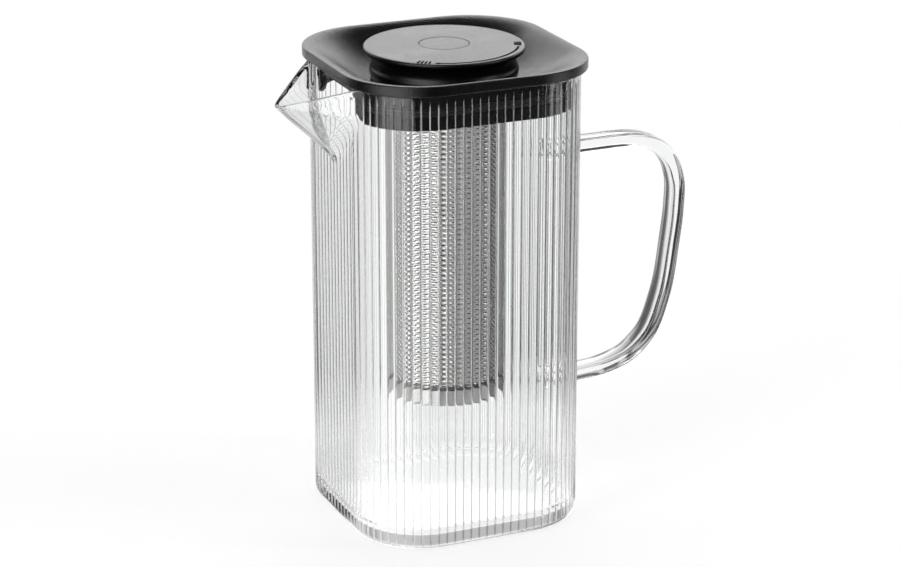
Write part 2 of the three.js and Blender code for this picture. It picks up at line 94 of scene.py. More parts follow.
def put(name: str, data: bpy.types.ID) -> bpy.types.Object:
    """Adds an object to the scene.

    Args:
        name: its name.
        data: its mesh, lamp or camera.

    Returns:
        The object.
    """
    made = bpy.data.objects.new(name, data)
    bpy.context.scene.collection.objects.link(made)
    return made


@dataclass
class Skin:
    """A surface as points in millimetres with four-sided and three-sided faces."""

    points: Array
    quads: Array
    tris: Array

    def outward(self) -> Skin:
        """Turns the faces round if they point inwards.

        They do if the sum of a . (b x c) over all their triangles is below zero.

        Returns:
            The skin with its faces outwards.
        """
        flat = np.concatenate([self.quads[:, [0, 1, 2]], self.quads[:, [0, 2, 3]], self.tris])
        a, b, c = (self.points[flat[:, k]] for k in range(3))
        if np.einsum("ij,ij->i", a, np.cross(b, c)).sum() >= 0:
            return self
        return Skin(self.points, self.quads[:, ::-1], self.tris[:, ::-1])

    def mesh(self, name: str) -> bpy.types.Mesh:
        """Makes a mesh in metres.

        Args:
            name: its name.

        Returns:
            The mesh.
        """
        made = bpy.data.meshes.new(name)
        made.from_pydata((self.points * MM).tolist(), [], self.quads.tolist() + self.tris.tolist())
        return made

    @staticmethod
    def joined(skins: list[Skin]) -> Skin:
        """One skin out of several.

        Args:
            skins: the skins, each complete in itself.

        Returns:
            A skin with all their points, each face's numbers moved on by the points before its own.
        """
        starts = np.cumsum([0] + [len(skin.points) for skin in skins])
        return Skin(
            np.concatenate([skin.points for skin in skins]),
            np.concatenate([skin.quads + start for skin, start in zip(skins, starts)]),
            np.concatenate([skin.tris + start for skin, start in zip(skins, starts)]),
        )


def ray(angle: Array) -> Array:
    """Directions (cos a, sin a), as (..., 2)."""
    return np.stack([np.cos(angle), np.sin(angle)], -1)


def unit(vectors: Array) -> Array:
    """Vectors brought to a length of one."""
    return vectors / np.linalg.norm(vectors, axis=-1, keepdims=True)


def level(flat: Array, height: Array | float) -> Array:
    """Adds heights to plan points (..., n, 2), giving (..., n, 3)."""
    tall = np.broadcast_to(np.asarray(height, float)[..., None], flat.shape[:-1] + (1,))
    return np.concatenate([flat, tall], -1)


def smoothstep(value: Array, low: float, high: float) -> Array:
    """Rises from 0 at low to 1 at high as t t (3 - 2 t)."""
    t = np.clip((value - low) / (high - low), 0, 1)
    return t * t * (3 - 2 * t)


def grid_skin(grid: Array, loop_rows: bool = False, first: Array | None = None, last: Array | None = None) -> Skin:
    """A closed-round surface through a grid of points.

    Each row closes on itself. Neighbouring rows are joined by quads, the last row joins the first where the rows loop,
    and a pole is joined to its end row by a fan of triangles.

    Args:
        grid: points as (rows, columns, 3).
        loop_rows: whether the last row joins the first.
        first: the pole before the first row, if any.
        last: the pole after the last row, if any.

    Returns:
        The skin, its faces turned outwards.
    """
    rows, columns = grid.shape[:2]
    index = np.arange(rows * columns).reshape(rows, columns)
    lower = index if loop_rows else index[:-1]
    upper = np.roll(index, -1, axis=0) if loop_rows else index[1:]
    quads = np.stack([lower, np.roll(lower, -1, 1), np.roll(upper, -1, 1), upper], -1).reshape(-1, 4)
    points = grid.reshape(-1, 3)
    fans = [np.zeros((0, 3), int)]
    for pole, row, flip in ((first, index[0], True), (last, index[-1], False)):
        if pole is not None:
            fan = np.stack([np.full(columns, len(points)), row, np.roll(row, -1)], -1)
            fans.append(fan[:, ::-1] if flip else fan)
            points = np.vstack([points, np.asarray(pole, float)])
    return Skin(points, quads, np.concatenate(fans)).outward()


def capped_skin(grid: Array) -> Skin:
    """A grid skin with a fan from the middle of each end row."""
    return grid_skin(grid, False, grid[0].mean(0), grid[-1].mean(0))


def turned_skin(profile: Array, columns: int) -> Skin:
    """A round body: each point (r, z) of the profile goes to (r cos a, r sin a, z) for angles a all the way round.

    Args:
        profile: points as (n, 2). A first or last radius of zero becomes a pole, and with neither the profile closes.
        columns: how many angles there are.

    Returns:
        The skin, its faces turned outwards.
    """
    low, high = profile[[0, -1], 0] <= 0
    inside = profile[int(low) : len(profile) - int(high)]
    grid = level(inside[:, None, :1] * ray(np.arange(columns) * TURN / columns), inside[:, 1:])
    first, last = level(np.zeros((2, 2)), profile[[0, -1], 1])
    return grid_skin(grid, not (low or high), first if low else None, last if high else None)


def arc(centre: Pair, radius: float, start: float, end: float, steps: int) -> Array:
    """Points centre + radius (cos a, sin a), as (steps + 1, 2), a running evenly from start to end in degrees."""
    return np.array(centre) + radius * ray(np.radians(np.linspace(start, end, steps + 1)))


def smooth_through(points: Array, steps: int) -> Array:
    """A smooth curve through points, as a cubic whose slope at each point is the mean of its neighbours' slopes.

    The parameter at a point is the length of the broken line up to it, so uneven spacing makes no bulges.

    Args:
        points: the places to pass through, as (n, dimensions).
        steps: how many intervals the curve has, evenly spaced along the broken line.

    Returns:
        Points as (steps + 1, dimensions).
    """
    knot = np.concatenate([[0], np.cumsum(np.linalg.norm(np.diff(points, axis=0), axis=1))])
    slope = np.gradient(points, knot, axis=0)
    at = np.linspace(0, knot[-1], steps + 1)
    k = np.clip(np.searchsorted(knot, at, side="right") - 1, 0, len(points) - 2)
    span = (knot[k + 1] - knot[k])[:, None]
    t = (at - knot[k])[:, None] / span
    return (
        (2 * t**3 - 3 * t**2 + 1) * points[k]
        + (t**3 - 2 * t**2 + t) * span * slope[k]
        + (3 * t**2 - 2 * t**3) * points[k + 1]
        + (t**3 - t**2) * span * slope[k + 1]
    )


@dataclass
class Plan:
    """Columns of points round the rounded square that the glass, the lid and its plug share.

    An outline at distance d is every point of a small core square moved out by d along its outward direction, so all
    outlines are parallel. A share from 0 to 1 goes once round it from the middle of the +X side, counter-clockwise.
    """

    shares: Array
    core: float = 20.0
    corner: float = 30.0

    def spots(self) -> tuple[Array, Array]:
        """Where the columns lie.

        Returns:
            The points of the core square and the outward directions, both (n, 2).
        """
        bend = math.pi / 2 * self.corner
        whole = (self.shares % 1.0) * 4
        quadrant = np.floor(whole)
        run = (whole - quadrant) * (2 * self.core + bend)
        angle = np.clip(run - self.core, 0, bend) / self.corner
        at = np.stack([self.core - np.maximum(run - self.core - bend, 0), np.minimum(run, self.core)], -1)
        c, s = np.cos(math.pi / 2 * quadrant), np.sin(math.pi / 2 * quadrant)
        turn = np.stack([np.stack([c, -s], -1), np.stack([s, c], -1)], -2)
        return np.einsum("nij,nj->ni", turn, at), np.einsum("nij,nj->ni", turn, ray(angle))

    def outline(self, distance: Array | float) -> Array:
        """Points at + distance * out, as (..., n, 2), for distances that broadcast with the columns."""
        at, out = self.spots()
        return at + np.asarray(distance, float)[..., None] * out

    def between(self, distance: float, radius: float, part: Array) -> Array:
        """Points on the straight lines from an outline in to a circle, at a part of the way, as (..., n, 2)."""
        edge = self.outline(distance)
        return edge + part[..., None] * (unit(edge) * radius - edge)

    def rows(self, section: Array) -> Array:
        """A section's points (distance, height) carried round the outline."""
        return level(self.outline(section[:, :1]), section[:, 1:])

    def rings(self, section: Array) -> Array:
        """A section's points (radius, height) carried round a circle, at the columns' polar angles."""
        return level(section[:, :1, None] * unit(self.outline(self.corner)), section[:, 1:])


class Graph:
    """A node tree that is filled one node at a time."""

    def __init__(self, tree: Tree) -> None:
        """Takes the tree and empties it."""
        self.tree = tree
        self.tree.nodes.clear()

    def node(self, kind: str, settings: dict | None = None, **inputs: object) -> bpy.types.Node:
        """Adds a node.

        Args:
            kind: Blender's name of the node type, without its ShaderNode prefix.
            settings: the node's own properties.
            **inputs: values, colours or sockets for its inputs, with _ for a space; i0, i1 and so on go by number.

        Returns:
            The node.
        """
        made = self.tree.nodes.new(kind if kind.startswith("Node") else f"ShaderNode{kind}")
        for name, value in (settings or {}).items():
            setattr(made, name, value)
        for name, value in inputs.items():
            numbered = name[0] == "i" and name[1:].isdigit()
            socket = made.inputs[int(name[1:])] if numbered else made.inputs[name.replace("_", " ")]
            if isinstance(value, Socket):
                self.tree.links.new(value, socket)
            else:
                socket.default_value = (*value, 1.0) if socket.type == "RGBA" else value
        return made

    def maths(self, operation: str, *values: object) -> Socket:
        """The result of a Math node on numbers or sockets."""
        inputs = {f"i{k}": value for k, value in enumerate(values)}
        return self.node("Math", {"operation": operation}, **inputs).outputs[0]

    def add(self, *values: object) -> Socket:
        """The sum of two numbers or sockets."""
        return self.maths("ADD", *values)

    def times(self, *values: object) -> Socket:
        """The product of two numbers or sockets."""
        return self.maths("MULTIPLY", *values)

    def above(self, value: Socket, limit: float) -> Socket:
        """A mask that is 1 where a value is greater than the limit."""
        return self.maths("GREATER_THAN", value, limit)

    def mix(self, factor: Socket, first: object, second: object) -> Socket:
        """A colour between two colours, the factor being the share of the second one."""
        return self.node("Mix", {"data_type": "RGBA"}, i0=factor, i6=first, i7=second).outputs[2]

    def spread(self, value: Socket, low: float, high: float, start: object = 0.0, end: object = 1.0) -> Socket:
        """A value moved from the range low to high to the range start to end, and held at its ends."""
        return self.node("MapRange", i0=value, i1=low, i2=high, i3=start, i4=end).outputs[0]

    def pick(self, mask: Socket, off: object, on: object) -> Socket:
        """A number that is off where the mask is 0 and on where it is 1."""
        return self.spread(mask, 0.0, 1.0, off, on)

    def noise(self, place: Socket, scale: object, detail: float, **more: float) -> Socket:
        """The value of a Noise Texture."""
        return self.node("TexNoise", Vector=place, Scale=scale, Detail=detail, **more).outputs[0]

    def place(self) -> Socket:
        """The Object coordinates."""
        return self.node("TexCoord").outputs["Object"]


def new_group(name: str, inputs: dict[str, float], outputs: tuple[str, ...]) -> tuple[Graph, bpy.types.NodeOutputs]:
    """A shader node group with number sockets.

    Args:
        name: the group's name.
        inputs: input names and defaults.
        outputs: output names.

    Returns:
        Its graph, and the sockets that its inputs arrive at.
    """
    tree = bpy.data.node_groups.new(name, "ShaderNodeTree")
    for label, default in inputs.items():
        tree.interface.new_socket(name=label, in_out="INPUT", socket_type="NodeSocketFloat").default_value = default
    for label in outputs:
        tree.interface.new_socket(name=label, in_out="OUTPUT", socket_type="NodeSocketFloat")
    graph = Graph(tree)
    return graph, graph.node("NodeGroupInput").outputs


class Pattern(Enum):
    """The fine pattern of a surface, by the name of its second measure."""

    GRAIN = "Depth"
    LINES = "Length"


class Effects:
    """The shared effects, each a node group that is built once and placed in many materials."""

    def __init__(self) -> None:
        """Builds the groups."""
        self.patterns = {Pattern.GRAIN: self.moulded_grain(), Pattern.LINES: self.drawn_lines()}
        self.handling = self.handling_marks()

    @staticmethod
    def moulded_grain() -> Tree:
        """The spark-eroded grain of a moulding: small rounded pits with a finer speckle over them.

        Returns:
            A group with the grain's size per metre and its depth as inputs, and height and tone as outputs.
        """
        graph, given = new_group("moulded_grain", {"Scale": 2600.0, "Depth": 1.0}, ("Height", "Tone"))
        place = graph.place()
        pits = graph.node("TexVoronoi", {"feature": "SMOOTH_F1"}, Vector=place, Scale=given["Scale"])
        speckle = graph.noise(place, given["Scale"], 3.0, Roughness=0.6)
        height = graph.add(graph.times(pits.outputs["Distance"], 0.6), graph.times(speckle, 0.7))
        tone = graph.spread(speckle, 0.3, 0.7)
        graph.node("NodeGroupOutput", Height=graph.times(height, given["Depth"]), Tone=tone)
        return graph.tree

    @staticmethod
    def handling_marks() -> Tree:
        """What use leaves on a surface: soft smudges, hair scratches and settled dust.

        Returns:
            A group with an amount as input, and smudge, scratch and dust masks as outputs.
        """
        graph, given = new_group("handling_marks", {"Amount": 1.0}, ("Smudge", "Scratch", "Dust"))
        place = graph.place()
        cloud = graph.noise(place, 38.0, 4.0, Roughness=0.55, Distortion=0.6)
        hairs = []
        for turn, stretch in ((0.35, (900.0, 14.0, 14.0)), (1.9, (700.0, 11.0, 11.0))):
            turned = graph.node("Mapping", Vector=place, Rotation=(0.2, 0.1, turn), Scale=stretch)
            hairs.append(graph.spread(graph.noise(turned.outputs[0], 1.0, 1.0), 0.72, 0.78))
        specks = graph.node("TexVoronoi", Vector=place, Scale=520.0).outputs["Distance"]
        thin = graph.spread(graph.noise(place, 90.0, 2.0), 0.5, 0.66)
        masks = {
            "Smudge": graph.spread(cloud, 0.46, 0.72),
            "Scratch": graph.maths("MAXIMUM", *hairs),
            "Dust": graph.times(graph.spread(specks, 0.02, 0.09, 1.0, 0.0), thin),
        }
        graph.node("NodeGroupOutput", **{name: graph.times(mask, given["Amount"]) for name, mask in masks.items()})
        return graph.tree

    @staticmethod
    def drawn_lines() -> Tree:
        """Fine lines along the height, as rolling and drawing leave on sheet steel.

        Returns:
            A group with how many lines per metre and how long they are as inputs, and height and tone as outputs.
        """
        graph, given = new_group("drawn_lines", {"Scale": 1500.0, "Length": 14.0}, ("Height", "Tone"))
        split = graph.node("SeparateXYZ", Vector=graph.place()).outputs
        rates = {"X": "Scale", "Y": "Scale", "Z": "Length"}
        scaled = {axis: graph.times(split[axis], given[rate]) for axis, rate in rates.items()}
        space = graph.node("CombineXYZ", **scaled)
        lines = graph.noise(space.outputs[0], 1.0, 4.0, Roughness=0.65)
        graph.node("NodeGroupOutput", Height=lines, Tone=graph.spread(lines, 0.3, 0.7))
        return graph.tree


def new_material(name: str) -> tuple[Material, Graph]:
    """A material that is made of nodes.

    Args:
        name: its name.

    Returns:
        The material and its empty graph.
    """
    material = bpy.data.materials.new(name)
    material.use_nodes = True
    return material, Graph(material.node_tree)


@dataclass(frozen=True)
class ClearGlass:
    """Blown and pressed borosilicate: colourless and faintly wavy, painted a little grey where the eye looks along the
    wall, a painted shade for its dark edges.

    Light casts a weak even shadow through it, and a ray that has been thrown about inside it goes straight on. A ray
    that has bounced inside it takes the bounced colour, which on the handle is a dark painted shade. Its grooves, its
    rim's round and the spout's keel are dark lines of painted shade, the grooves with a mirror-like skim. Its clear
    parts have no skim, and a paler painted-shade edge.
    """

    name: str
    body: Triple = (0.985, 0.992, 0.99)
    edge: Triple = (0.55, 0.57, 0.575)
    edge_power: float = 8.0
    clear_edge: float = 0.2
    line: Triple = (0.14, 0.145, 0.15)
    bounced: Triple = (0.985, 0.992, 0.99)
    ior: float = 1.47
    wave: float = 0.03
    wave_scale: float = 45.0
    skim_ior: float = 4.4
    skim_roughness: float = 0.08
    shade: float = 0.18
    most_bounces: float = 2.5

    def make(self, effects: Effects) -> Material:
        """Builds the material.

        Args:
            effects: the shared effects, which clean glass has none of.

        Returns:
            The material.
        """
        material, graph = new_material(self.name)
        path = graph.node("LightPath").outputs
        facing = graph.node("LayerWeight").outputs["Facing"]
        groove, clear = (graph.node("Attribute", {"attribute_name": name}).outputs["Fac"] for name in (GROOVE, CLEAR))
        # Painted shade: the colour greys as the view grazes the wall, a paler grey where the clear mask is set.
        rim = graph.times(graph.maths("POWER", facing, self.edge_power), graph.pick(clear, 1.0, self.clear_edge))
        # Painted shade: dark lines of the line colour wherever the groove mask is set.
        tint = graph.mix(groove, graph.mix(rim, self.body, self.edge), self.line)
        # A ray that has bounced inside takes the bounced colour; on the handle it is dark, a painted shade.
        thrown = graph.mix(clear, self.bounced, self.body)
        tint = graph.mix(graph.above(path["Glossy Depth"], 0.5), tint, thrown)
        wave = graph.noise(graph.place(), self.wave_scale, 1.0)
        bump = graph.node("Bump", Strength=self.wave, Distance=0.001, Height=wave)
        skim = graph.times(groove, graph.pick(clear, 1.0, 0.0))
        glass = graph.node(
            "BsdfPrincipled", Base_Color=tint, Roughness=0.0, IOR=self.ior, Transmission_Weight=1.0,
            Normal=bump.outputs[0], Coat_Weight=skim, Coat_IOR=self.skim_ior, Coat_Roughness=self.skim_roughness,
        )
        passing = graph.node("BsdfTransparent", Color=(1.0 - self.shade,) * 3)
        spent = graph.above(path["Glossy Depth"], self.most_bounces)
        straight_on = graph.maths("MAXIMUM", path["Is Shadow Ray"], spent)
        both = graph.node("MixShader", i0=straight_on, i1=glass.outputs[0], i2=passing.outputs[0])
        graph.node("OutputMaterial", Surface=both.outputs[0])
        return material


@dataclass(frozen=True)
class Opaque:
    """A finish that light doesn't pass: a colour broken up by a fine pattern, with the marks of handling over it."""

    name: str
    colour: Triple
    worn: Triple
    roughness: float
    rate: float
    extent: float
    handling: float
    specular: float = 0.5
    metallic: float = 0.0
    pattern: Pattern = Pattern.GRAIN
    pattern_tone: float = 0.35
    scratch_tone: float = 0.5
    dust_tone: float = 0.25
    pattern_rough: float = 0.06
    smudge_rough: float = -0.07
    bump: float = 0.35

    def make(self, effects: Effects) -> Material:
        """Builds the material.

        Args:
            effects: the shared effects.

        Returns:
            The material.
        """
        material, graph = new_material(self.name)
        measures = {"Scale": self.rate, self.pattern.value: self.extent}
        pattern = graph.node("Group", {"node_tree": effects.patterns[self.pattern]}, **measures).outputs
        marks = graph.node("Group", {"node_tree": effects.handling}, Amount=self.handling).outputs
        tone = graph.mix(graph.times(pattern["Tone"], self.pattern_tone), self.colour, self.worn)
        tone = graph.mix(graph.times(marks["Scratch"], self.scratch_tone), tone, self.worn)
        tone = graph.mix(graph.times(marks["Dust"], self.dust_tone), tone, DUST)
        rough = graph.add(self.roughness, graph.times(pattern["Tone"], self.pattern_rough))
        rough = graph.add(rough, graph.times(marks["Smudge"], self.smudge_rough))
        bump = graph.node("Bump", Strength=self.bump, Distance=0.0001, Height=pattern["Height"]).outputs[0]
        shader = graph.node(
            "BsdfPrincipled", Base_Color=tone, Roughness=rough, Metallic=self.metallic,
            Specular_IOR_Level=self.specular, Normal=bump,
        )
        graph.node("OutputMaterial", Surface=shader.outputs[0])
        return material


class MouldedPlastic(Opaque):
    """Injection-moulded plastic with a spark-eroded grain, worn a little lighter and faintly dusty."""


@dataclass(frozen=True)
class StrainerSteel(Opaque):
    """Rolled stainless sheet: bright, with fine lines along its height and light smudges."""

    rate: float = 1500.0
    extent: float = 14.0
    handling: float = 0.8
    metallic: float = 1.0
    pattern: Pattern = Pattern.LINES
    pattern_tone: float = 0.5
    scratch_tone: float = 0.0
    dust_tone: float = 0.0
    pattern_rough: float = 0.1
    smudge_rough: float = 0.12
    bump: float = 0.08


class Finish(Enum):
    """Every finish of the object."""

    GLASS = ClearGlass("ribbed_clear_glass")
    # The strap's dark edge and dark bounced colour are painted shade for the dark bands seen through it.
    HANDLE_GLASS = ClearGlass(
        "clear_glass_strap", edge=(0.2, 0.205, 0.21), edge_power=6.0, bounced=(0.3, 0.31, 0.315), wave=0.02
    )
    WELD = ClearGlass("melted_joint", WHITE, WHITE, ior=1.0, wave=0.0)
    LID = MouldedPlastic("matte_black_lid", (0.0018, 0.0018, 0.002), (0.008, 0.008, 0.0083), 0.2, 1900.0, 4.6, 0.7)
    KNOB = MouldedPlastic("matte_black_knob", (0.0018, 0.0018, 0.002), (0.008, 0.008, 0.0083), 0.22, 2600.0, 2.4, 0.8)
    PLUG = MouldedPlastic(
        "glossy_black_plug", (0.002, 0.002, 0.0022), (0.006, 0.006, 0.0065), 0.12, 900.0, 0.1, 0.3, 0.15
    )
    SILICONE = MouldedPlastic(
        "black_silicone", (0.004, 0.004, 0.0045), (0.012, 0.012, 0.013), 0.32, 1500.0, 0.3, 0.5, 0.4
    )
    STEEL = StrainerSteel("rolled_steel", (0.86, 0.855, 0.845), (0.7052, 0.7011, 0.6929), 0.13)
    # A darkened copy of the steel for the sheet's inner face and the walls of its holes: painted shade.
    STEEL_INSIDE = StrainerSteel("rolled_steel_painted_shade", (0.2, 0.2, 0.197), (0.164, 0.164, 0.16154), 0.4)
    SCREW = StrainerSteel("turned_steel", (0.62, 0.62, 0.61), (0.5084, 0.5084, 0.5002), 0.3, 2600.0, 2600.0)
    MARKS = MouldedPlastic(
        "sunk_black_marks", (0.002, 0.002, 0.002), (0.006, 0.006, 0.006), 0.7, 3000.0, 0.5, 0.2, 0.03
    )

    @property
    def material(self) -> Material:
        """The finish's material, once it is made."""
        return bpy.data.materials[self.value.name]


@dataclass
class Piece:
    """How one piece is put into the scene."""

    name: str
    body: Body
    slot: Slot
    replaces: tuple[str, ...]
    finish: Finish
    crease: float = 40.0

    def place(self, skin: Skin, masks: dict[str, Array] | None = None) -> bpy.types.Object:
        """Makes the object, dresses it and ties it to its body.

        Args:
            skin: its surface in millimetres.
            masks: values from 0 to 1 over the points that its material reads, by name.

        Returns:
            The object, at the origin.
        """
        mesh = skin.mesh(self.name)
        mesh.polygons.foreach_set("use_smooth", np.ones(len(mesh.polygons), bool))
        mesh.set_sharp_from_angle(angle=math.radians(self.crease))
        mesh.update()
        for name, mask in (masks or {}).items():
            mesh.attributes.new(name, "FLOAT", "POINT").data.foreach_set("value", mask.astype(np.float32))
        mesh.materials.append(self.finish.material)
        made = put(self.name, mesh)
        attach(made, self.body.value)
        if self.replaces:
            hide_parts(*self.replaces)
        LOG.info("%s: %d triangles, rides on %s", self.name, 2 * len(skin.quads) + len(skin.tris), self.body.value)
        return made


@dataclass
class GlassJug:
    """The ribbed glass body with its pulled spout, and the strap handle.

    The phases are where columns stand within one rib and its groove. The sole's and the floor's rows are shares of
    the way out from the middle, the wall's rows are heights below the spout, and the rim's line is how strong the
    painted dark line, a painted shade, is over the rim's round. The keel's painted dark line stands that far across
    from the keel. The handle's path is in shares of its reach and of its height from the lower weld to the upper one.
    """

    wall: float = 3.0
    rim: float = 196.0
    rim_round: float = 0.9
    floor: float = 5.0
    floor_rise: float = 0.5
    foot_round: float = 4.5
    well_round: float = 6.0
    push_up: float = 0.9
    flutes: int = 96
    flute: float = 0.26
    flute_power: float = 5.0
    phases: tuple[float, ...] = (0.0, 0.27, 0.37, 0.43, 0.472, 0.5, 0.528, 0.57, 0.63, 0.73)
    sole_rows: tuple[float, ...] = (0.3, 0.55, 0.75, 0.9, 0.97)
    wall_rows: tuple[float, ...] = (9.0, 30.0, 70.0, 110.0, 140.0)
    floor_rows: tuple[float, ...] = (0.85, 0.6, 0.3)
    rim_line: tuple[float, ...] = (0, 0.6, 1, 1, 1, 0.6, 0, 0, 0)
    keel_line_at: float = 0.6
    spout_reach: float = 24.8
    spout_half: float = 25.0
    spout_tip: float = 185.0
    spout_start: float = 157.0
    spout_nose: float = 2.6
    spout_blend: float = 4.0
    spout_inset: float = -0.3
    spout_lines: float = 0.5
    keel_fade: float = 3.0
    flute_fade: float = 3.0
    line_fade: Pair = (0.8, 2.4)
    leaning_at: float = 4.0
    clear_at: float = 1.5
    handle_start: float = 49.75
    handle_root: float = 50.3
    handle_reach: float = 58.65
    handle_top: float = 153.0
    handle_foot: float = 49.8
    handle_thick: float = 6.4
    handle_breadth: float = 10.8
    handle_path: tuple[Pair, ...] = (
        (0, 0.994), (0.17, 0.999), (0.34, 1.0), (0.5, 1.0), (0.644, 0.994), (0.8, 0.966), (0.925, 0.903),
        (0.99, 0.806), (0.993, 0.68), (0.963, 0.524), (0.892, 0.291), (0.768, 0.126), (0.619, 0.05),
        (0.44, 0.013), (0.236, 0), (0, -0.004),
    )
    weld_swell: float = 1.6
    weld_length: float = 8.0
    weld_melt: Pair = (4.0, 12.0)
    fullness: float = 0.45

    def keel(self, height: Array) -> Array:
        """How far the keel stands out: reach rise^1.7 (1 + 0.8 (1 - rise)), rise going 0 to 1 up to the tip."""
        rise = np.clip((height - self.spout_start) / (self.spout_tip - self.spout_start), 0, 1)
        return self.spout_reach * rise**1.7 * (1 + 0.8 * (1 - rise))

    def pull(self, across: Array, height: Array | float, inset: Array | float = 0.0) -> Array:
        """How far the spout pulls the wall out.

        The keel less the inset less a hyperbola of the distance across, eased to zero over the blend: v stays v above
        the blend, is zero below minus it, and is (v + b)^2 / 4b between. It fades out where the keel starts.

        Args:
            across: y on the reference outline.
            height: z.
            inset: how much less the inner wall is pulled.

        Returns:
            The pull towards -X.
        """
        aside = (np.hypot(across, self.spout_nose) - self.spout_nose) * self.spout_reach / self.spout_half
        value = self.keel(height) - inset - aside
        blend = self.spout_blend
        eased = (np.clip(value, -blend, blend) + blend) ** 2 / (4 * blend)
        return np.where(value > blend, value, eased) * smoothstep(self.keel(height), 0.0, self.keel_fade)

    def body_skin(self) -> tuple[Skin, dict[str, Array]]:
        """The whole glass body as one grid.

        Columns stand closer together at each groove, whose depth grows with a power of the distance from the ribs'
        middles. Rows run from the pushed-up sole over the foot's round, up the ribbed outside, over the fire-polished
        rim, down the smooth inside and over the floor. The far side lies far aside of the spout, so it isn't pulled.

        Returns:
            The skin, and masks over its points: one for the painted dark lines of shade, 1 along the bottom of each
            groove outside and weaker along the spout's rim and keel, and one that is 1 where the wall is pulled into
            the spout.
        """
        plan = Plan(((np.arange(self.flutes)[:, None] + np.array(self.phases)) / self.flutes).ravel())
        share_of_depth = (1 - 2 * np.abs((plan.shares * self.flutes) % 1.0 - 0.5)) ** self.flute_power
        depth = self.flute * share_of_depth
        edge = plan.outline(plan.corner)
        across = np.where(edge[:, 0] < 0, edge[:, 1], FAR_ASIDE)
        rim = self.rim - (self.rim - self.spout_tip) * self.pull(across, self.spout_tip) / self.spout_reach

        def wall(distance: Array, height: Array, inset: Array | float = 0.0) -> Array:
            """Rows of wall points, moved by the spout's pull."""
            pulled = np.stack([self.pull(across, height, inset), np.zeros_like(height)], -1)
            return level(plan.outline(distance) - pulled, height)

        foot = plan.corner - self.foot_round
        shrink = np.array(self.sole_rows)[:, None]
        sole = level(plan.outline(foot) * shrink[..., None], self.push_up * (1 - shrink**3))
        bend = arc((foot, self.foot_round), self.foot_round, -90, 0, 10)
        fade = np.linspace(0, 1, len(bend))[:, None] ** 2
        foot_rows = level(plan.outline(bend[:, :1] - depth * fade), bend[:, 1:])
        lower = np.array(self.wall_rows)[:, None] * np.ones_like(rim)
        top = rim - self.rim_round
        heights = np.concatenate([lower, self.spout_start + (top - self.spout_start) * np.linspace(0, 1, 25)[:, None]])
        pull = self.pull(across, heights)
        leaning = smoothstep(pull, 0.0, self.leaning_at)
        fluting = smoothstep(top - heights, 0.0, self.flute_fade) * (1 - leaning)
        outside = wall(plan.corner - depth * fluting, heights)
        bend = np.radians(np.linspace(0, 180, 11))[1:-1, None]
        half = self.wall / 2
        over = wall(
            plan.corner - half + half * np.cos(bend), rim + self.rim_round * (np.sin(bend) - 1),
            self.spout_inset * (1 - np.cos(bend)) / 2,
        )
        inner, well_top = plan.corner - self.wall, self.floor + self.well_round
        inside = wall(np.full_like(heights, inner), np.maximum(heights[::-1], well_top + 2), self.spout_inset)
        well = plan.rows(arc((inner - self.well_round, well_top), self.well_round, 0, -90, 10))
        shrink = np.array(self.floor_rows)[:, None]
        middle = plan.outline(inner - self.well_round) * shrink[..., None]
        floor = level(middle, self.floor + self.floor_rise * (1 - shrink**2))
        grid = np.concatenate([sole, foot_rows, outside, over, inside, well, floor])
        groove, clear = np.zeros((2, *grid.shape[:2]))
        a, b, c, d, e = np.cumsum([len(sole), len(foot_rows), len(outside), len(over), len(inside)])
        # The groove mask places painted shade: dark lines down each groove, over the rim's round and along the keel.
        sharp = share_of_depth**2.0
        near_rim = smoothstep(top - heights, *self.line_fade) * (1 - (1 - self.spout_lines) * leaning)
        keel_line = np.exp(-((across - self.keel_line_at) ** 2) / 2) * leaning
        groove[a:b] = sharp * fade
        groove[b:c] = np.maximum(sharp * near_rim, keel_line)
        groove[c:d] = np.array(self.rim_line)[:, None]
        clear[b:c] = smoothstep(pull, 0.0, self.clear_at)
        clear[c:d], clear[d:e] = clear[c - 1], clear[b:c][::-1]
        skin = grid_skin(grid, False, np.array([0, 0, self.push_up]), np.array([0, 0, self.floor + self.floor_rise]))
        return skin, {GROOVE: np.append(groove, (0, 0)), CLEAR: np.append(clear, (0, 0))}

    def handle_skin(self) -> tuple[Skin, dict[str, Array]]:
        """The strap: a superellipse section carried along a smooth path in the XZ plane.

        A section point is the path point plus the outward normal times sign(c) |c|^p thick / 2, with y as sign(s)
        |s|^p breadth / 2, for the cosine c and sine s of an angle all the way round. Both grow towards the welds.

        Returns:
            The skin, and a mask over its points that is 1 at the welds.
        """
        size = (self.handle_reach, self.handle_top - self.handle_foot)
        control = np.array(self.handle_path) * size + (self.handle_root, self.handle_foot)
        control[[0, -1], 0] = self.handle_start
        path = smooth_through(control, 150)
        along = unit(np.gradient(path, axis=0))
        along[0], along[-1] = (1, 0), (-1, 0)
        outward = np.stack([-along[:, 1], along[:, 0]], -1)
        run = np.concatenate([[0], np.cumsum(np.linalg.norm(np.diff(path, axis=0), axis=1))])
        near = np.minimum(run, run[-1] - run)
        swell = self.weld_swell * np.maximum(0, 1 - near / self.weld_length) ** 2
        section = ray((np.arange(44) + 0.5) * TURN / 44)
        full = np.sign(section) * np.abs(section) ** self.fullness / 2
        thick = full[:, 0] * (self.handle_thick + swell)[:, None]
        broad = full[:, 1] * (self.handle_breadth + swell)[:, None]
        flat = path[:, None, :] + outward[:, None, :] * thick[..., None]
        grid = np.stack([flat[..., 0], broad, flat[..., 1]], -1)
        melted = np.repeat(1 - smoothstep(near, *self.weld_melt), len(section))
        return capped_skin(grid), {CLEAR: np.append(melted, (1, 1))}

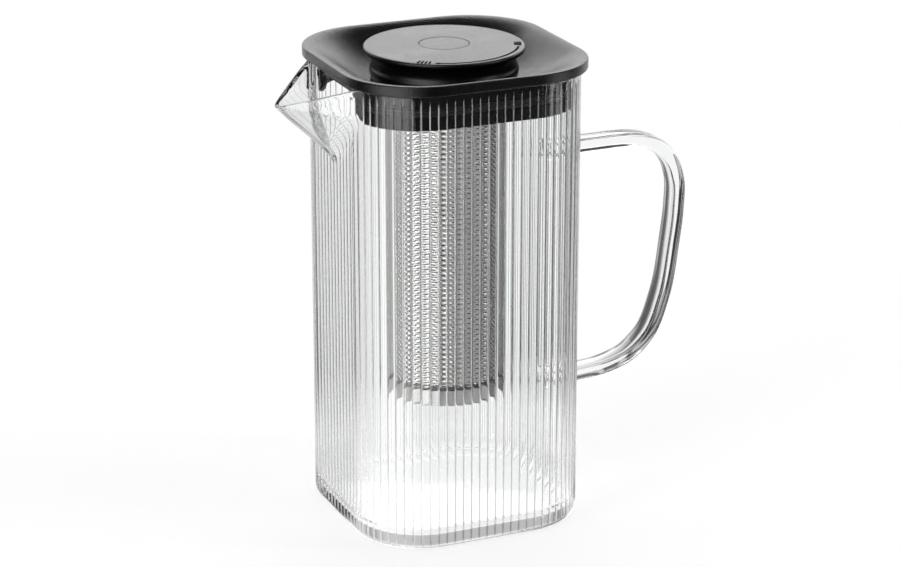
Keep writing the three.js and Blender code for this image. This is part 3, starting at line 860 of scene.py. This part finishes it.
    def build(self) -> None:
        """Makes the body and the handle, whose end faces melt into the body."""
        Piece("jug_glass", Body.JUG, Slot.CLEAR_GLASS, ("glass_body",), Finish.GLASS, 60.0).place(*self.body_skin())
        handle = Piece("jug_handle", Body.JUG, Slot.CLEAR_GLASS, ("glass_handle",), Finish.HANDLE_GLASS, 60.0)
        mesh = handle.place(*self.handle_skin()).data
        mesh.materials.append(Finish.WELD.material)
        sides = np.array([len(face.vertices) for face in mesh.polygons])
        mesh.polygons.foreach_set("material_index", (sides == 3).astype(np.int32))


@dataclass
class Lid:
    """The dished plate, the plug under it and the silicone strip round the plug.

    The groove runs where the notch has lifted the foot by less than the seal's rise. The outside has a row that far
    below the groove and one that far below its top, and the inside one that high over the foot, and a lowest one.
    """

    columns: int = 384
    under_edge: float = 196.5
    top: float = 200.8
    reach: float = 32.1
    edge_round: float = 0.7
    dish: float = 12.0
    thick: float = 2.2
    knob_ring: float = 31.0
    hole: float = 29.9
    lip_round: float = 0.5
    gap: float = 0.3
    seal_rise: float = 0.4
    below_seal: float = 1.2
    below_top: float = 0.4
    row_step: float = 0.02
    inner_row: float = 9.9
    lowest_row: float = 0.6
    plug_foot: float = 181.0
    plug_corner: float = 26.3
    plug_wall: float = 2.4
    plug_round: float = 1.0
    foot_width: float = 1.8
    web: float = 1.6
    collar_bore: float = 26.9
    collar_wall: float = 2.0
    collar_depth: float = 3.6
    notch_foot: float = 30.0
    notch_top: float = 15.5
    notch_height: float = 9.5
    notch_power: float = 1.8
    seal_lift: float = 6.0
    seal_band: float = 3.0
    seal_depth: float = 1.2
    seal_proud: float = 0.4
    seal_stop: float = 30.4

    @property
    def plan(self) -> Plan:
        """The plan with the lid's columns."""
        return Plan(np.arange(self.columns) / self.columns)

    def inward(self, part: Array, height: Array) -> Array:
        """Rows of points at parts of the way from where the dish starts in to the knob's circle."""
        return level(self.plan.between(self.reach, self.knob_ring, part), height)

    def dish_at(self, part: Array | float) -> Array | float:
        """Depth of the dish: its depth times t t (3 - 2 t) from the edge to the knob."""
        return self.dish * part * part * (3 - 2 * part)

    def under(self, part: Array | float) -> Array | float:
        """Height of the plate's underside: flat over the rim, then parallel to the top."""
        return np.minimum(self.top - self.dish_at(part) - self.thick, self.under_edge)

    def web_top(self, part: Array | float) -> Array | float:
        """Height of the plug's web, a small gap under the plate."""
        return self.under(part) - self.gap

    def plate_skin(self) -> Skin:
        """The plate's section, carried round the plan.

        The section is a closed line: up the rounded edge, in along the dish to the knob's circle, down the hole's
        lip and out along the underside.

        Returns:
            The skin.
        """
        bend, lip = self.edge_round, self.lip_round
        ends = ((self.under_edge + bend, -90), (self.top - bend, 0))
        edge = np.concatenate([arc((self.reach, height), bend, start, start + 90, 6) for height, start in ends])
        part = np.linspace(0, 1, 27)[1:, None]
        floor = self.top - self.dish
        hole = np.vstack([arc((self.hole + lip, floor - lip), lip, 90, 180, 4), (self.hole, floor - self.thick)])
        return grid_skin(np.concatenate([
            self.plan.rows(edge), self.inward(part, self.top - self.dish_at(part)), self.plan.rings(hole),
            self.inward(part[::-1], self.under(part[::-1])),
        ]), True)

    def foot(self) -> Array:
        """Height of the plug's lower edge: level, and raised into the pouring notch on the spout's side.

        The rise is a smooth step from the notch's wide foot to its narrow top, of a power of the share of the way, so
        that the edge leaves the level part in a long curve.

        Returns:
            The heights over the columns.
        """
        spot = self.plan.outline(self.plug_corner)
        across = np.where(spot[:, 0] < 0, np.abs(spot[:, 1]), FAR_ASIDE)
        rise = np.clip((self.notch_foot - across) / (self.notch_foot - self.notch_top), 0, 1)
        return self.plug_foot + self.notch_height * smoothstep(rise**self.notch_power, 0.0, 1.0)

    def plug_skin(self) -> Skin:
        """The plug's section, carried round the plan.

        A closed line: the rounded lower edge, up the outside with the groove for the strip, in under the dish to the
        ledge, down the guide ring, back along the web's underside and down the inside. Where the notch lifts the
        lower edge, the rows above it are lifted to stay in order.

        Returns:
            The skin.
        """
        plan, foot, bend, gap = self.plan, self.foot(), self.plug_round, self.gap
        outer, inner = self.plug_corner, self.plug_corner - self.plug_wall
        start = (self.reach - outer) / (plan.core + self.reach - self.knob_ring)
        top = self.web_top(start)
        low = self.plug_foot + self.seal_lift - gap
        high = low + self.seal_band + 2 * gap
        groove = np.where(foot < self.plug_foot + self.seal_rise, self.seal_depth, 0.0)
        under = arc((outer - bend, bend), bend, -90, 0, 5)
        side = np.array([
            (low - self.below_seal, 0), (low, 0), (low, 1), (high, 1), (high, 0), (top - self.below_top, 0), (top, 0),
        ])
        order = self.row_step * np.arange(1, len(side) + 1)[:, None]
        part = np.linspace(start, 1, 16)[1:, None]
        ledge = self.top - self.dish - self.thick - gap
        bore, out, end = self.collar_bore, self.collar_bore + self.collar_wall, ledge - self.web - self.collar_depth
        ring = np.array([
            (bore + gap, ledge), (bore, ledge - gap), (bore, end + gap), (bore + gap, end), (out - gap, end),
            (out, end + gap), (out, ledge - self.web),
        ])
        rows = (top - self.web, self.plug_foot + self.inner_row, self.plug_foot + self.lowest_row)
        inside = np.array(rows)[:, None]
        return grid_skin(np.concatenate([
            level(plan.outline(outer - self.foot_width), foot)[None],
            level(plan.outline(under[:, :1]), foot + under[:, 1:]),
            level(plan.outline(outer - side[:, 1:] * groove), np.maximum(side[:, :1], foot + bend + order)),
            self.inward(part, self.web_top(part)),
            plan.rings(ring),
            self.inward(part[::-1], self.web_top(part[::-1]) - self.web),
            level(plan.outline(np.full_like(inside, inner)), np.maximum(inside, foot + self.lowest_row)),
        ]), True)

    def strip_skin(self) -> Skin:
        """The silicone strip: a section with two soft ridges, carried round the plug from notch side to notch side.

        Returns:
            The skin, capped at both ends.
        """
        stop = self.seal_stop / (8 * Plan.core + TURN * Plan.corner)
        at, out = Plan(np.linspace(0.5 + stop, 1.5 - stop, 360)).spots()
        low, band = self.plug_foot + self.seal_lift, self.seal_band
        back = self.plug_corner - self.seal_depth + self.gap
        t = np.linspace(0, 1, 17)
        ridge = self.plug_corner + self.seal_proud * np.abs(np.sin(TURN * t)) ** 0.8
        section = np.concatenate([np.stack([ridge, low + band * t], -1), [(back, low + band), (back, low)]])
        return capped_skin(level(at[:, None, :] + section[None, :, :1] * out[:, None, :], section[:, 1]))

    def build(self) -> None:
        """Makes the plate, the plug and the strip."""
        Piece("lid_top", Body.LID, Slot.LID_PLASTIC, ("lid_plate",), Finish.LID).place(self.plate_skin())
        Piece("lid_plug", Body.LID, Slot.PLUG_PLASTIC, ("lid_insert",), Finish.PLUG).place(self.plug_skin())
        Piece("lid_strip", Body.LID, Slot.SILICONE, ("lid_gasket",), Finish.SILICONE, 50.0).place(self.strip_skin())


@dataclass
class Strainer:
    """The perforated tube and its plain bottom cup, whose foot has a pressed ring, as points (radius, rise)."""

    radius: float = 25.0
    wall: float = 0.45
    low: float = 60.3
    high: float = 186.3
    first_row: float = 62.2
    row_pitch: float = 1.09
    rows: int = 108
    around: int = 144
    hole: float = 0.26
    hole_stretch: float = 1.08
    bands: tuple[str, ...] = ("lower", "middle", "upper", "top")
    cup_low: float = 52.0
    cup_high: float = 60.0
    cup_wall: float = 0.9
    cup_round: float = 3.0
    cup_lip: float = 24.2
    lip_high: float = 63.0
    foot_outside: tuple[Pair, ...] = ((0.0, 0.7), (12.0, 0.7), (13.2, 0.5), (14.4, 0.0))
    foot_inside: tuple[Pair, ...] = ((14.0, 0.9), (12.8, 1.4), (0.0, 1.5))

    def band_skin(self, band: int) -> Skin:
        """One band of the perforated sheet, with a hexagonal hole in each cell of a staggered lattice.

        Cell (row j, column i) has its middle at ((i + half for odd j) pitch, j row pitch). A cell's corners are the
        lattice points a third of a row above the middles to its sides and two thirds above and below it, so three
        cells share each, and six quads join them to the hole's six corners. The outermost bands end in a plain ring.

        Args:
            band: which band, from the bottom.

        Returns:
            The skin of the sheet's outer face.
        """
        n = self.around
        start, stop = (round(self.rows * k / len(self.bands)) for k in (band, band + 1))
        rows = np.arange(start - 1, stop)
        odd = (rows % 2)[:, None]
        pitch = TURN / n
        middle = (np.arange(n)[None] + 0.5 * odd) * pitch
        height = self.first_row + rows[:, None] * self.row_pitch * np.ones((1, n))
        above = np.stack([middle, height + self.row_pitch * 2 / 3], -1)
        beside = np.stack([middle + pitch / 2, height + self.row_pitch / 3], -1)
        reach = ray(np.radians(np.arange(90, -270, -60))) * self.hole * (1 / self.radius, self.hole_stretch)
        holes = np.stack([middle, height], -1)[1:, :, None, :] + reach
        count = len(rows)
        above_at = np.arange(count * n).reshape(count, n)
        beside_at = above_at + count * n
        holes_at = 2 * count * n + np.arange((count - 1) * n * 6).reshape(count - 1, n, 6)
        shifted, under, aside = odd[1:] == 1, above_at[:-1], beside_at[:-1]
        ring = np.stack([
            above_at[1:], beside_at[1:], np.where(shifted, np.roll(under, -1, 1), under),
            np.where(shifted, aside, np.roll(aside, 1, 1)), np.where(shifted, under, np.roll(under, 1, 1)),
            np.roll(beside_at[1:], 1, 1),
        ], -1)
        quads = np.stack([ring, np.roll(ring, -1, -1), np.roll(holes_at, -1, -1), holes_at], -1).reshape(-1, 4)
        flat = np.concatenate([above.reshape(-1, 2), beside.reshape(-1, 2), holes.reshape(-1, 2)])
        for wanted, row, end in ((band == 0, 0, self.low), (band == len(self.bands) - 1, count - 1, self.high)):
            if wanted:
                edge = np.stack([above_at[row], beside_at[row]], -1).ravel()
                plain_at = len(flat) + np.arange(2 * n)
                flat = np.concatenate([flat, level(flat[edge, :1], end)])
                pair = np.stack([plain_at, np.roll(plain_at, -1), np.roll(edge, -1), edge], -1)
                quads = np.concatenate([quads, pair[:, ::-1] if row else pair])
        used, number = np.unique(quads, return_inverse=True)
        points = level(self.radius * ray(flat[used, 0]), flat[used, 1])
        return Skin(points, number.reshape(-1, 4), np.zeros((0, 3), int)).outward()

    def keep_seams_crisp(self, sheet: bpy.types.Object) -> None:
        """Marks a band's own border sharp, so that no shading runs round it into the wall's thickness.

        A border edge has one face and is longer than a side of a hole.

        Args:
            sheet: the band.
        """
        mesh = sheet.data
        at = np.empty(len(mesh.vertices) * 3)
        ends = np.empty(len(mesh.edges) * 2, int)
        used = np.empty(len(mesh.loops), int)
        mesh.vertices.foreach_get("co", at)
        mesh.edges.foreach_get("vertices", ends)
        mesh.loops.foreach_get("edge_index", used)
        at, ends = at.reshape(-1, 3), ends.reshape(-1, 2)
        length = np.linalg.norm(at[ends[:, 0]] - at[ends[:, 1]], axis=1)
        border = (np.bincount(used, minlength=len(ends)) == 1) & (length > 1.4 * self.hole * MM)
        mesh.edges.foreach_set("use_edge_sharp", border)

    def cup_skin(self) -> Skin:
        """The bottom cup, turned: a flat foot with a pressed ring, a rounded edge, a plain band and a lip inside.

        Returns:
            The skin.
        """
        r, low, high, bend, wall = self.radius, self.cup_low, self.cup_high, self.cup_round, self.cup_wall
        lip, inner = self.cup_lip, self.cup_lip - wall
        return turned_skin(np.concatenate([
            np.array(self.foot_outside) + (0, low), arc((r - bend, low + bend), bend, -90, 0, 8),
            [(r, high - 0.15), (r - 0.15, high), (lip, high), (lip, self.lip_high), (inner, self.lip_high)],
            arc((inner - bend, low + wall + bend), bend, 0, -90, 8), np.array(self.foot_inside) + (0, low),
        ]), 160)

    def build(self) -> None:
        """Makes the bands, each given its wall by a Solidify modifier, and the cup."""
        for band, place in enumerate(self.bands):
            piece = Piece(f"strainer_{place}", Body.INFUSER, Slot.STEEL, ("infuser_tube",), Finish.STEEL, 60.0)
            sheet = piece.place(self.band_skin(band))
            self.keep_seams_crisp(sheet)
            # The inner face and the holes' walls take the darkened copy of the steel, a painted shade.
            sheet.data.materials.append(Finish.STEEL_INSIDE.material)
            solid = sheet.modifiers.new("wall", "SOLIDIFY")
            solid.thickness = self.wall * MM
            solid.offset = -1.0
            solid.material_offset = solid.material_offset_rim = 1
        Piece("strainer_cup", Body.INFUSER, Slot.STEEL, ("infuser_base",), Finish.STEEL, 35.0).place(self.cup_skin())


@dataclass
class KnobCap:
    """The round cap: neck, disc, the plug in the disc's middle and the marks that show locked and open.

    The neck's line is the outside's bead and flare and its shell is the rest of its section, as radii and rises. A
    mark is its two angles in degrees, its inner and outer radius at both ends, and its steps.
    """

    floor: float = 189.0
    neck_line: tuple[Pair, ...] = (
        (29.4, 0), (30.0, 0.5), (30.55, 1.8), (31, 3.7), (30.75, 5.0), (30.2, 5.9), (29.95, 6.7), (29.9, 7.8),
        (30.3, 9.5), (31.15, 10.8), (32.6, 11.6),
    )
    neck_shell: tuple[Pair, ...] = (
        (6.0, 11.6), (6.0, 7.6), (2.2, 7.6), (2.2, 5.6), (8.0, 5.6), (8.0, 9.6), (27.7, 9.6), (27.7, 2.6), (23.0, 2.6),
        (23.0, 0), (24.9, 0), (24.9, 1.6), (27.5, 1.6), (27.5, 0),
    )
    cover: float = 33.4
    cover_low: float = 200.9
    cover_high: float = 203.54
    cover_round: float = 0.8
    bevel_round: float = 0.85
    seat_depth: float = 1.55
    dome: float = 0.55
    centre: float = 10.4
    centre_low: float = 202.3
    centre_gap: float = 0.15
    centre_round: float = 0.25
    columns: int = 224
    mark_sunk: float = 0.1
    mark_proud: float = 0.04
    marks: tuple[tuple, ...] = (
        (-117.0, -30.0, (30.3, 30.3), (31.3, 31.3), 60), (-120.0, -116.5, (30.6, 29.4), (30.9, 31.95), 4),
        (-133.5, -132.0, (28.6, 28.6), (31.9, 31.9), 3), (-130.6, -129.1, (28.6, 28.6), (31.9, 31.9), 3),
        (-127.7, -126.2, (28.6, 28.6), (31.9, 31.9), 3), (-124.8, -123.3, (28.6, 28.6), (31.9, 31.9), 3),
        (-26.0, -20.5, (28.8, 28.8), (31.9, 31.9), 4), (-18.6, -16.6, (28.8, 28.8), (31.9, 31.9), 3),
    )

    def top_at(self, radius: Array | float) -> Array | float:
        """The disc's top, a shallow dome: its height less the dome times the square of the radius's share."""
        return self.cover_high - self.dome * (radius / self.cover) ** 2

    def neck_skin(self) -> Skin:
        """The neck: its outer line runs smoothly through the bead's and the flare's places, the rest is the shell."""
        profile = np.concatenate([smooth_through(np.array(self.neck_line), 44), self.neck_shell])
        return turned_skin(profile + (0, self.floor), self.columns)

    def disc_skin(self) -> Skin:
        """The disc, turned: a rounded lower edge, a short upright side, a wide soft bevel, the dome and a seat.

        Returns:
            The skin.
        """
        low, high, r, bend, bevel = self.cover_low, self.cover_high, self.cover, self.cover_round, self.bevel_round
        hole = self.centre + self.centre_gap
        ring = np.linspace(r - 2.2, hole + 0.4, 16)
        return turned_skin(np.concatenate([
            arc((r - bend, low + bend), bend, -90, 0, 6),
            arc((r - bevel, self.top_at(r) - bevel), bevel, 0, 74, 7),
            [(r - 0.95, self.top_at(r) - 0.01), (r - 1.25, self.top_at(r - 1.25))],
            np.stack([ring, self.top_at(ring)], -1),
            [(hole + 0.08, high - 0.05), (hole, high - 0.25), (hole, high - self.seat_depth)],
            [(hole - 2, high - self.seat_depth), (hole - 2, low)],
        ]), self.columns)

    def centre_skin(self) -> Skin:
        """The middle plug, turned: a thin disc with a soft upper edge, flush with the disc around it.

        Returns:
            The skin.
        """
        low, high, r, bend = self.centre_low, self.top_at(self.centre), self.centre, self.centre_round
        return turned_skin(np.concatenate([
            [(0.0, low), (r, low), (r, high - 0.3)], arc((r - bend, high - 0.3), bend, 0, 90, 4)[1:],
            [(r - 0.5, high - 0.03), (r - 1.0, high), (0.0, high)],
        ]), 160)

    def mark(self, start: float, end: float, inner: Pair, outer: Pair, steps: int) -> Skin:
        """One flat mark on the disc: a stretch of a ring whose two radii run evenly from start to end.

        Args:
            start: its first angle in degrees.
            end: its last angle in degrees.
            inner: the inner radius at both ends.
            outer: the outer radius at both ends.
            steps: how many intervals.

        Returns:
            The skin of a thin closed plate.
        """
        low, high = self.top_at(outer[0]) - self.mark_sunk, self.top_at(inner[0]) + self.mark_proud
        t = np.linspace(0, 1, steps + 1)[:, None]
        inside, outside = (pair[0] + (pair[1] - pair[0]) * t for pair in (inner, outer))
        along = ray(np.radians(start + (end - start) * t[:, 0]))
        corners = ((inside, low), (outside, low), (outside, high), (inside, high))
        return capped_skin(np.stack([level(radius * along, height) for radius, height in corners], 1))

    def marks_skin(self) -> Skin:
        """The marks: an arc with an arrowhead, a row of upright bars at one end and a solid block at the other."""
        return Skin.joined([self.mark(*mark) for mark in self.marks])

    def build(self) -> None:
        """Makes the pieces of the cap."""
        for name, node, skin in (
            ("knob_neck", "knob_body", self.neck_skin()),
            ("knob_disc", "knob_cover", self.disc_skin()),
            ("knob_centre", "centre_cap", self.centre_skin()),
        ):
            Piece(name, Body.CAP, Slot.LID_PLASTIC, (node,), Finish.KNOB).place(skin)
        Piece("knob_marks", Body.CAP, Slot.LID_PLASTIC, (), Finish.MARKS, 30.0).place(self.marks_skin())


@dataclass(frozen=True)
class Sector:
    """Equal sectors of the compass round the set: one's middle and half its width in degrees, and their count."""

    middle: float
    half: float
    count: int = 1

    def mask(self, graph: Graph, angle: Socket) -> Socket:
        """A mask of the sectors: a cosine of their count times the angle, which peaks in each, sharpened.

        Args:
            graph: the graph to add to.
            angle: the direction's angle.

        Returns:
            The mask's socket.
        """
        wave = graph.times(graph.maths("SUBTRACT", angle, math.radians(self.middle)), float(self.count))
        low, high = (math.cos(math.radians(self.count * part * self.half)) for part in (1.3, 0.7))
        return graph.spread(graph.maths("COSINE", wave), low, high)


@dataclass(frozen=True)
class SoftBox:
    """A rectangular lamp: its place and size in metres, its power in watts and whether glossy surfaces show it."""

    name: str
    at: Triple
    size: Pair
    power: float
    mirrored: bool

    def hang(self, aim: Triple) -> None:
        """Puts the lamp up.

        Args:
            aim: the place that it looks at.
        """
        data = bpy.data.lights.new(self.name, "AREA")
        data.shape = "RECTANGLE"
        data.size, data.size_y = self.size
        data.energy = self.power
        lamp = put(self.name, data)
        lamp.visible_glossy = self.mirrored
        lamp.location = self.at
        lamp.rotation_euler = (Vector(aim) - Vector(self.at)).to_track_quat("-Z", "Y").to_euler()


@dataclass
class Studio:
    """The pale floor and background, the soft lamps and the camera.

    Sectors say where things stand round the set, and levels how bright they are. The back lies behind the object as
    the camera looks at it. A fade runs from its first number to its second: the sky's in the height of a direction,
    the others in metres from the middle of the floor. The disc's radii are in millimetres.
    """

    eye: Triple = (-0.4593, -1.0710, 0.5059)
    forward: Triple = (0.3739, 0.8668, -0.3299)
    up: Triple = (0.1307, 0.3029, 0.9440)
    lens: float = 116.6
    aim: Triple = (0.0, 0.0, 0.1)
    lamps: tuple[SoftBox, ...] = (
        SoftBox("left_box", (-1.15, -0.45, 0.45), (0.2, 1.0), 6.0, False),
        SoftBox("right_box", (1.05, -0.6, 0.6), (0.15, 0.9), 3.5, False),
        SoftBox("back_box", (0.33, 0.78, 0.54), (1.2, 0.32), 2.0, True),
    )
    box: Sector = Sector(211.0, 24.0)
    strip: Sector = Sector(325.0, 9.0)
    back: Sector = Sector(67.5, 62.0)
    gap: Sector = Sector(67.5, 15.0)
    ahead: Sector = Sector(67.5, 35.0)
    rear_half: Sector = Sector(67.5, 75.0)
    few_flags: Sector = Sector(22.5, 7.0, 8)
    many_flags: Sector = Sector(11.25, 6.5, 16)
    side_flag: Sector = Sector(22.0, 22.0)
    dark_side: Sector = Sector(15.0, 34.0)
    ambient: float = 0.5
    straight_flag: float = 0.6
    straight_side: float = 0.05
    inside_glass: float = 0.95
    inside_flag: float = 0.06
    metal: float = 0.4
    metal_box: float = 0.85
    metal_side: float = 0.1
    metal_flag: float = 0.3
    open_dark: float = 0.05
    open_box: float = 2.0
    open_floor: float = 0.9
    open_sky: float = 1.05
    open_top: float = 0.05
    lift: float = 0.405
    sky_fade: Pair = (0.28, 0.62)
    stand_fade: Pair = (0.12, 0.2)
    shadow_fade: Pair = (0.13, 0.36)
    paper: Triple = (0.80, 0.80, 0.80)
    paper_fibre: Triple = (0.78, 0.78, 0.78)
    disc_radii: Triple = (9000.0, 500.0, 0.0)

    def seen(self, graph: Graph, place: Socket, stand: Socket | float, mirrored: Socket | float) -> Socket:
        """How bright the set is for each kind of ray.

        The camera sees it white and matte surfaces gather the even ambient light. Rays that went straight through
        glass see white with a few faint flags and a dark one at the side. Rays that bounced inside a glass wall see
        many dark flags, and both have a gap behind the object. What is glossy in the open sees a dark set with a
        bright box at each side and the white behind, and so does a ray that bounced once in the glass and left
        towards the front. Metal behind glass sees the left box, a dark side and the white straight behind. Depths are
        whole numbers, so they are held against halves. At a transmission depth of four a ray has crossed two walls.

        Args:
            graph: the graph to add to.
            place: a position or direction from the object.
            stand: a mask for where the flags stand.
            mirrored: the level of the white behind for what is glossy in the open.

        Returns:
            The brightness.
        """
        path = graph.node("LightPath").outputs
        split = graph.node("SeparateXYZ", Vector=place).outputs
        angle = graph.maths("ARCTAN2", split["Y"], split["X"])
        glossy_depth = path["Glossy Depth"]
        passed, both_walls = (graph.above(path["Transmission Depth"], limit) for limit in (0.5, 3.5))
        mirror, diffused = graph.above(glossy_depth, 0.5), graph.above(path["Diffuse Depth"], 0.5)
        box, strip, back, ahead, side = (
            sector.mask(graph, angle) for sector in (self.box, self.strip, self.back, self.ahead, self.dark_side)
        )
        beside_gap, front = (
            graph.times(graph.pick(sector.mask(graph, angle), 1.0, 0.0), stand) for sector in (self.gap, self.rear_half)
        )
        few, many = (graph.times(flags.mask(graph, angle), beside_gap) for flags in (self.few_flags, self.many_flags))
        flag = graph.times(self.side_flag.mask(graph, angle), stand)
        straight = graph.times(graph.pick(few, 1.0, self.straight_flag), graph.pick(flag, 1.0, self.straight_side))
        dark = graph.times(graph.pick(side, self.metal, self.metal_side), graph.pick(few, 1.0, self.metal_flag))
        metal = graph.pick(ahead, graph.add(graph.times(box, self.metal_box), dark), self.inside_glass)
        lit = graph.add(graph.times(back, mirrored), graph.times(graph.add(box, strip), self.open_box))
        in_open = graph.add(lit, self.open_dark)
        once = graph.times(front, graph.maths("LESS_THAN", glossy_depth, 1.5))
        bounced = graph.pick(once, graph.pick(many, self.inside_glass, self.inside_flag), in_open)
        glassy = graph.pick(mirror, straight, graph.pick(both_walls, bounced, metal))
        shown = graph.pick(passed, graph.pick(mirror, self.ambient, in_open), glassy)
        return graph.pick(path["Is Camera Ray"], graph.pick(diffused, shown, self.ambient), 1.0)

    def build_world(self) -> None:
        """A white surround for rays that see it, and an even soft light for the rest."""
        world = bpy.data.worlds.new("studio")
        world.use_nodes = True
        bpy.context.scene.world = world
        graph = Graph(world.node_tree)
        place = graph.node("TexCoord").outputs["Generated"]
        rise = graph.node("SeparateXYZ", Vector=place).outputs["Z"]
        mirrored = graph.spread(rise, *self.sky_fade, self.open_sky, self.open_top)
        light = graph.node("Background", Color=WHITE, Strength=self.seen(graph, place, 1.0, mirrored))
        graph.node("OutputWorld", Surface=light.outputs[0])

    def build_floor(self) -> None:
        """A pale disc that takes the object's shadow near it and fades to white further out."""
        material, graph = new_material("pale_floor")
        place = graph.place()
        radius = graph.node("VectorMath", {"operation": "LENGTH"}, i0=place).outputs["Value"]
        path = graph.node("LightPath").outputs
        fibre = graph.times(graph.noise(place, 60.0, 3.0), 0.4)
        matte = graph.node("BsdfDiffuse", Color=graph.mix(fibre, self.paper, self.paper_fibre))
        lift = graph.node("Emission", Color=WHITE, Strength=graph.times(path["Is Camera Ray"], self.lift))
        near = graph.node("AddShader", i0=matte.outputs[0], i1=lift.outputs[0])
        shown = self.seen(graph, place, graph.spread(radius, *self.stand_fade), self.open_floor)
        far = graph.node("Emission", Color=WHITE, Strength=shown)
        through = graph.above(graph.add(path["Transmission Depth"], path["Glossy Depth"]), 0.5)
        share = graph.maths("MAXIMUM", graph.spread(radius, *self.shadow_fade), through)
        both = graph.node("MixShader", i0=share, i1=near.outputs[0], i2=far.outputs[0])
        graph.node("OutputMaterial", Surface=both.outputs[0])
        rings = np.array([(radius, 0.0) for radius in self.disc_radii])
        floor = put("floor", turned_skin(rings, 96).mesh("floor"))
        floor.data.materials.append(material)

    def build_camera(self) -> None:
        """The camera of the photograph's view."""
        data = bpy.data.cameras.new("camera")
        data.sensor_width = 36.0
        data.lens = self.lens
        data.clip_start, data.clip_end = 0.05, 30.0
        forward = Vector(self.forward)
        right = forward.cross(Vector(self.up)).normalized()
        turn = Matrix((right, right.cross(forward).normalized(), -forward.normalized())).transposed().to_4x4()
        camera = put("camera", data)
        camera.matrix_world = Matrix.Translation(self.eye) @ turn
        bpy.context.scene.camera = camera

    def build(self) -> None:
        """Makes the surround, the floor, the lamps and the camera, and picks the standard view transform."""
        self.build_world()
        self.build_floor()
        for lamp in self.lamps:
            lamp.hang(self.aim)
        self.build_camera()
        bpy.context.scene.view_settings.view_transform = "Standard"


def dress_kept_nodes(nodes: dict[str, bpy.types.Object]) -> None:
    """Gives the CAD nodes whose shape stays their finish.

    Args:
        nodes: the CAD objects by name.
    """
    kept = {
        "infuser_collar": Finish.PLUG, "cap_spigot": Finish.PLUG, "cap_seal": Finish.SILICONE,
        "cap_washer": Finish.SCREW, "cap_screw": Finish.SCREW,
    }
    for name, finish in kept.items():
        nodes[name].data.materials.clear()
        nodes[name].data.materials.append(finish.material)
        LOG.info("%s: kept, finished as %s", name, finish.value.name)


def main() -> None:
    """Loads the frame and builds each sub-assembly in order."""
    logging.basicConfig(level=logging.INFO, format="%(message)s")
    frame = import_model()
    effects = Effects()
    for finish in Finish:
        finish.value.make(effects)
    GlassJug().build()
    Lid().build()
    Strainer().build()
    KnobCap().build()
    dress_kept_nodes(frame["nodes"])
    Studio().build()


if __name__ == "__main__":
    main()
